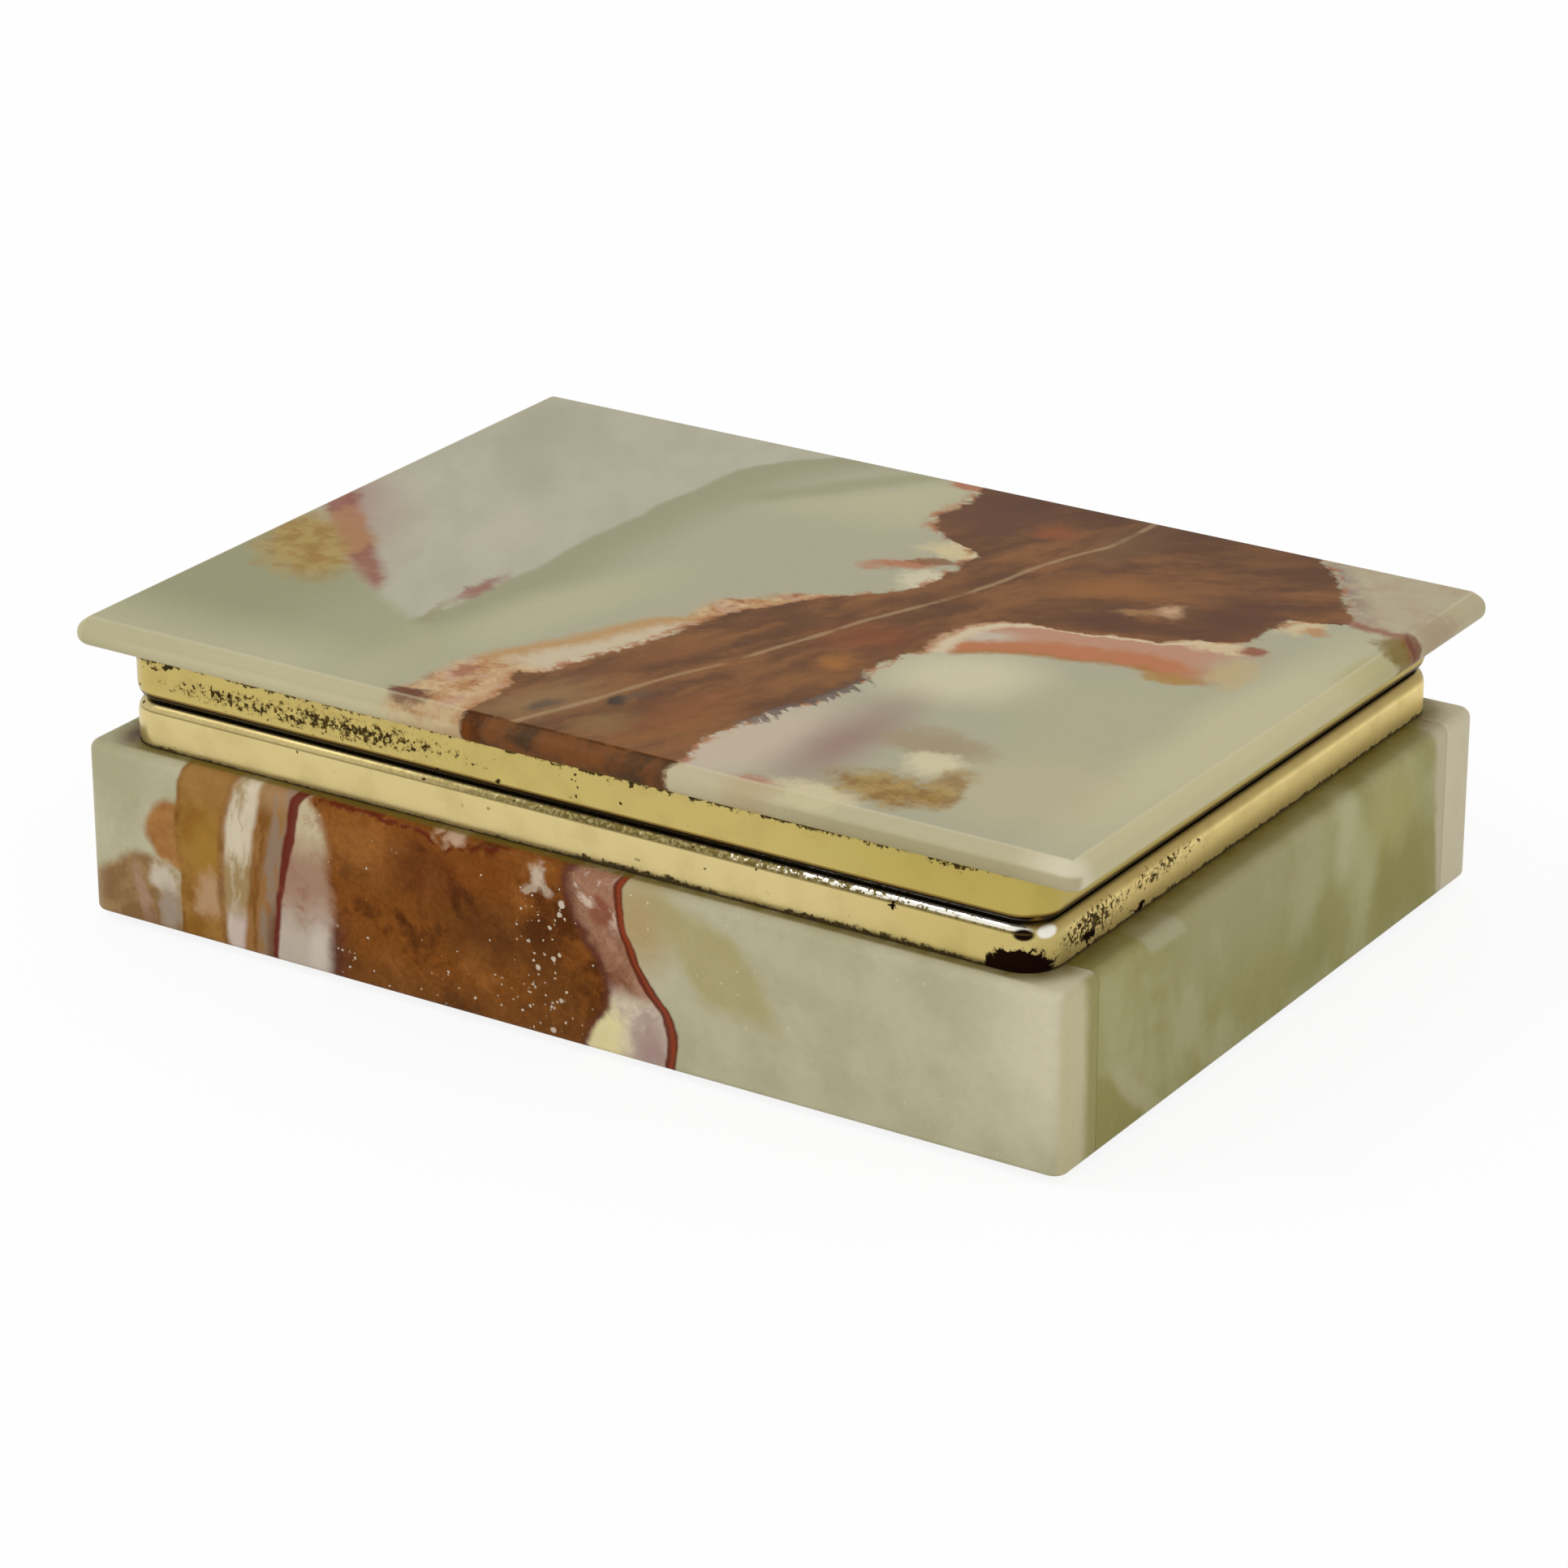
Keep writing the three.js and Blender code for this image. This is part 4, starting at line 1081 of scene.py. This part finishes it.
def brassFrame(name, node, body, shoulderUp):
    low, high = boxOf(node)
    seam, foot = (high.z, low.z) if shoulderUp else (low.z, high.z)
    bm = bmesh.new()
    blockBetween(bm, low, high, frameShape["corner"], frameShape["cornerSteps"])
    roundLevel(bm, seam, frameShape["shoulderWidth"], frameShape["shoulderDrop"], frameShape["edgeSteps"])
    capsOff(bm, seam)
    capsOff(bm, foot)
    innerLow = Vector((mouthLow.x, mouthLow.y, low.z))
    innerHigh = Vector((mouthHigh.x, mouthHigh.y, high.z))
    blockBetween(bm, innerLow, innerHigh, frameShape["mouthCorner"], frameShape["cornerSteps"])
    capsOff(bm, seam)
    capsOff(bm, foot)
    for height in (seam, foot):
        border = [e for e in levelEdges(bm, height) if e.is_boundary]
        bmesh.ops.bridge_loops(bm, edges=border)
    bmesh.ops.recalc_face_normals(bm, faces=bm.faces)  # the walls of the mouth still face into the brass
    lip = [
        e for e in levelEdges(bm, seam)
        if all(mouthLow.x - tiny < v.co.x < mouthHigh.x + tiny for v in e.verts)
        and all(mouthLow.y - tiny < v.co.y < mouthHigh.y + tiny for v in e.verts)
    ]
    bevelled(bm, lip, frameShape["mouthEase"], frameShape["mouthSteps"])
    piece = finishPiece(bm, name, body, looks["brass"], [node])
    cutter = grooveCutter()
    milled = piece.modifiers.new("hingeGroove", "BOOLEAN")
    milled.operation = "DIFFERENCE"
    milled.solver = "EXACT"
    milled.object = cutter
    piece.modifiers.move(piece.modifiers.find("hingeGroove"), 0)
    piece.modifiers["evenShading"].show_viewport = False
    view = bpy.context.evaluated_depsgraph_get()
    cutMesh = bpy.data.meshes.new_from_object(piece.evaluated_get(view))
    piece.modifiers.remove(piece.modifiers["hingeGroove"])
    piece.modifiers["evenShading"].show_viewport = True
    piece.data = cutMesh
    cutMesh.name = name
    cutMesh.set_sharp_from_angle(angle=sharpAngle)
    bpy.data.objects.remove(cutter)
    return piece


brassFrame("lowerFrame", "base_rim", "base", True)
brassFrame("upperFrame", "lid_rim", "lid", False)
print("frames bridged and milled")

# Hinge: seven tubes turned about one pin
hingeShape = {"tubes": 7, "chamfer": 0.15, "bore": 0.85, "pinRound": 0.25, "steps": 64}


def turned(name, profile, body, nodes):  # spins a profile of (x, radius) about the hinge axis
    bm = bmesh.new()
    points = [bm.verts.new((x, hingeAxis.y, hingeAxis.z + radius)) for x, radius in profile]
    lines = [bm.edges.new(pair) for pair in zip(points, points[1:])]
    if profile[0][1] > 0:  # a tube's profile closes on itself, a rod's ends on the axis
        lines.append(bm.edges.new((points[-1], points[0])))
    bmesh.ops.spin(
        bm, geom=points + lines, cent=hingeAxis, axis=(1, 0, 0), angle=2 * math.pi,
        steps=hingeShape["steps"], use_merge=True,
    )
    return finishPiece(bm, name, body, looks["hinge"], nodes)


for count in range(1, hingeShape["tubes"] + 1):
    node = f"hinge_knuckle_{count}"
    low, high = boxOf(node)
    outer = (high.z - low.z) / 2
    cut = hingeShape["chamfer"]
    profile = [
        (low.x, hingeShape["bore"]), (low.x, outer - cut), (low.x + cut, outer),
        (high.x - cut, outer), (high.x, outer - cut), (high.x, hingeShape["bore"]),
    ]
    turned(f"hingeTube{count}", profile, "base" if count % 2 else "lid", [node])
pinRadius = (pinHigh.z - pinLow.z) / 2
ease = hingeShape["pinRound"]
pinProfile = [
    (pinLow.x, 0), (pinLow.x, pinRadius - ease), (pinLow.x + ease, pinRadius),
    (pinHigh.x - ease, pinRadius), (pinHigh.x, pinRadius - ease), (pinHigh.x, 0),
]
turned("hingePin", pinProfile, "base", ["hinge_pin"])
print("hinge turned")

# Felt pads under the base
padShape = {"sides": 64, "ease": 0.3, "steps": 4}
for row in ("front", "back"):
    for end in ("left", "right"):
        node = f"felt_pad_{row}_{end}"
        low, high = boxOf(node)
        middle = (low + high) / 2
        radius = (high.x - low.x) / 2
        bm = bmesh.new()
        bmesh.ops.create_circle(bm, cap_ends=True, segments=padShape["sides"], radius=radius)
        bmesh.ops.translate(bm, vec=(middle.x, middle.y, low.z), verts=bm.verts)
        raised = bmesh.ops.extrude_face_region(bm, geom=bm.faces[:])
        lifted = [part for part in raised["geom"] if isinstance(part, bmesh.types.BMVert)]
        bmesh.ops.translate(bm, vec=(0, 0, high.z - low.z), verts=lifted)
        roundLevel(bm, low.z, padShape["ease"], padShape["ease"], padShape["steps"])
        roundLevel(bm, high.z, padShape["ease"], padShape["ease"], padShape["steps"])
        finishPiece(bm, f"feltPad{row.title()}{end.title()}", "base", looks["felt"], [node])
print("pads cut")

# Floor, white to the camera and to the brass, with the shadow left in
stageLook = {"size": 8.0, "floorTone": 0.95, "shadowShare": 0.12, "skyLevel": 0.9}


def seenDirectly(wire):
    path = wire.node("ShaderNodeLightPath", out="Is Camera Ray")
    return larger(path, path.other("Is Glossy Ray"), path.other("Is Transmission Ray"))


floorLook, wire = newLook("studioFloor")
tone = stageLook["floorTone"]
matt = wire.node("ShaderNodeBsdfDiffuse", {}, {"Color": (tone, tone, tone, 1)})
glow = wire.node("ShaderNodeEmission", {}, {"Color": (1, 1, 1, 1), "Strength": 1.0})
share = seenDirectly(wire) * (1 - stageLook["shadowShare"])
finishLook(wire, wire.node("ShaderNodeMixShader", {}, {0: share, 1: matt, 2: glow}))
bm = bmesh.new()
bmesh.ops.create_grid(bm, x_segments=1, y_segments=1, size=stageLook["size"] / 2)
studioFloor = placed(bm, "studioFloor")
studioFloor.data.materials.append(floorLook)

world = bpy.data.worlds.new("studioSky")
world.use_nodes = True
world.node_tree.nodes.clear()
wire = Wire(world.node_tree)
strength = stageLook["skyLevel"] + seenDirectly(wire) * (1 - stageLook["skyLevel"])
sky = wire.node("ShaderNodeBackground", {}, {"Color": (1, 1, 1, 1), "Strength": strength})
end = world.node_tree.nodes.new("ShaderNodeOutputWorld")
world.node_tree.links.new(sky.socket, end.inputs["Surface"])
scene.world = world

# One soft box, up to the front left
keyBox = {"from": (-0.54, -0.44, 0.95), "to": (0.03, -0.03, 0.03), "size": 0.2, "radiance": 16.0}
keyLamp = bpy.data.lights.new("keyBox", "AREA")
keyLamp.shape = "SQUARE"
keyLamp.size = keyBox["size"]
keyLamp.energy = keyBox["radiance"] * math.pi * keyBox["size"] ** 2
keyLight = bpy.data.objects.new("keyBox", keyLamp)
scene.collection.objects.link(keyLight)
keyLight.location = keyBox["from"]
keyAim = Vector(keyBox["to"]) - Vector(keyBox["from"])
keyLight.rotation_euler = keyAim.to_track_quat("-Z", "Y").to_euler()

# Camera, set where the picture was taken from
cameraSet = {
    "place": (0.39796, -0.62037, 0.32687),
    "azimuth": 32.693,
    "elevation": 22.757,
    "sensor": 36,
    "lens": 128.13,
    "nearest": 0.01,
}
cameraData = bpy.data.cameras.new("camera")
cameraData.sensor_width = cameraSet["sensor"]
cameraData.lens = cameraSet["lens"]
cameraData.clip_start = cameraSet["nearest"]
camera = bpy.data.objects.new("camera", cameraData)
scene.collection.objects.link(camera)
turn = math.radians(cameraSet["azimuth"])
rise = math.radians(cameraSet["elevation"])
backwards = Vector((math.sin(turn) * math.cos(rise), -math.cos(turn) * math.cos(rise), math.sin(rise)))
camera.location = cameraSet["place"]
camera.rotation_euler = (-backwards).to_track_quat("-Z", "Y").to_euler()
scene.camera = camera
print("stage set")
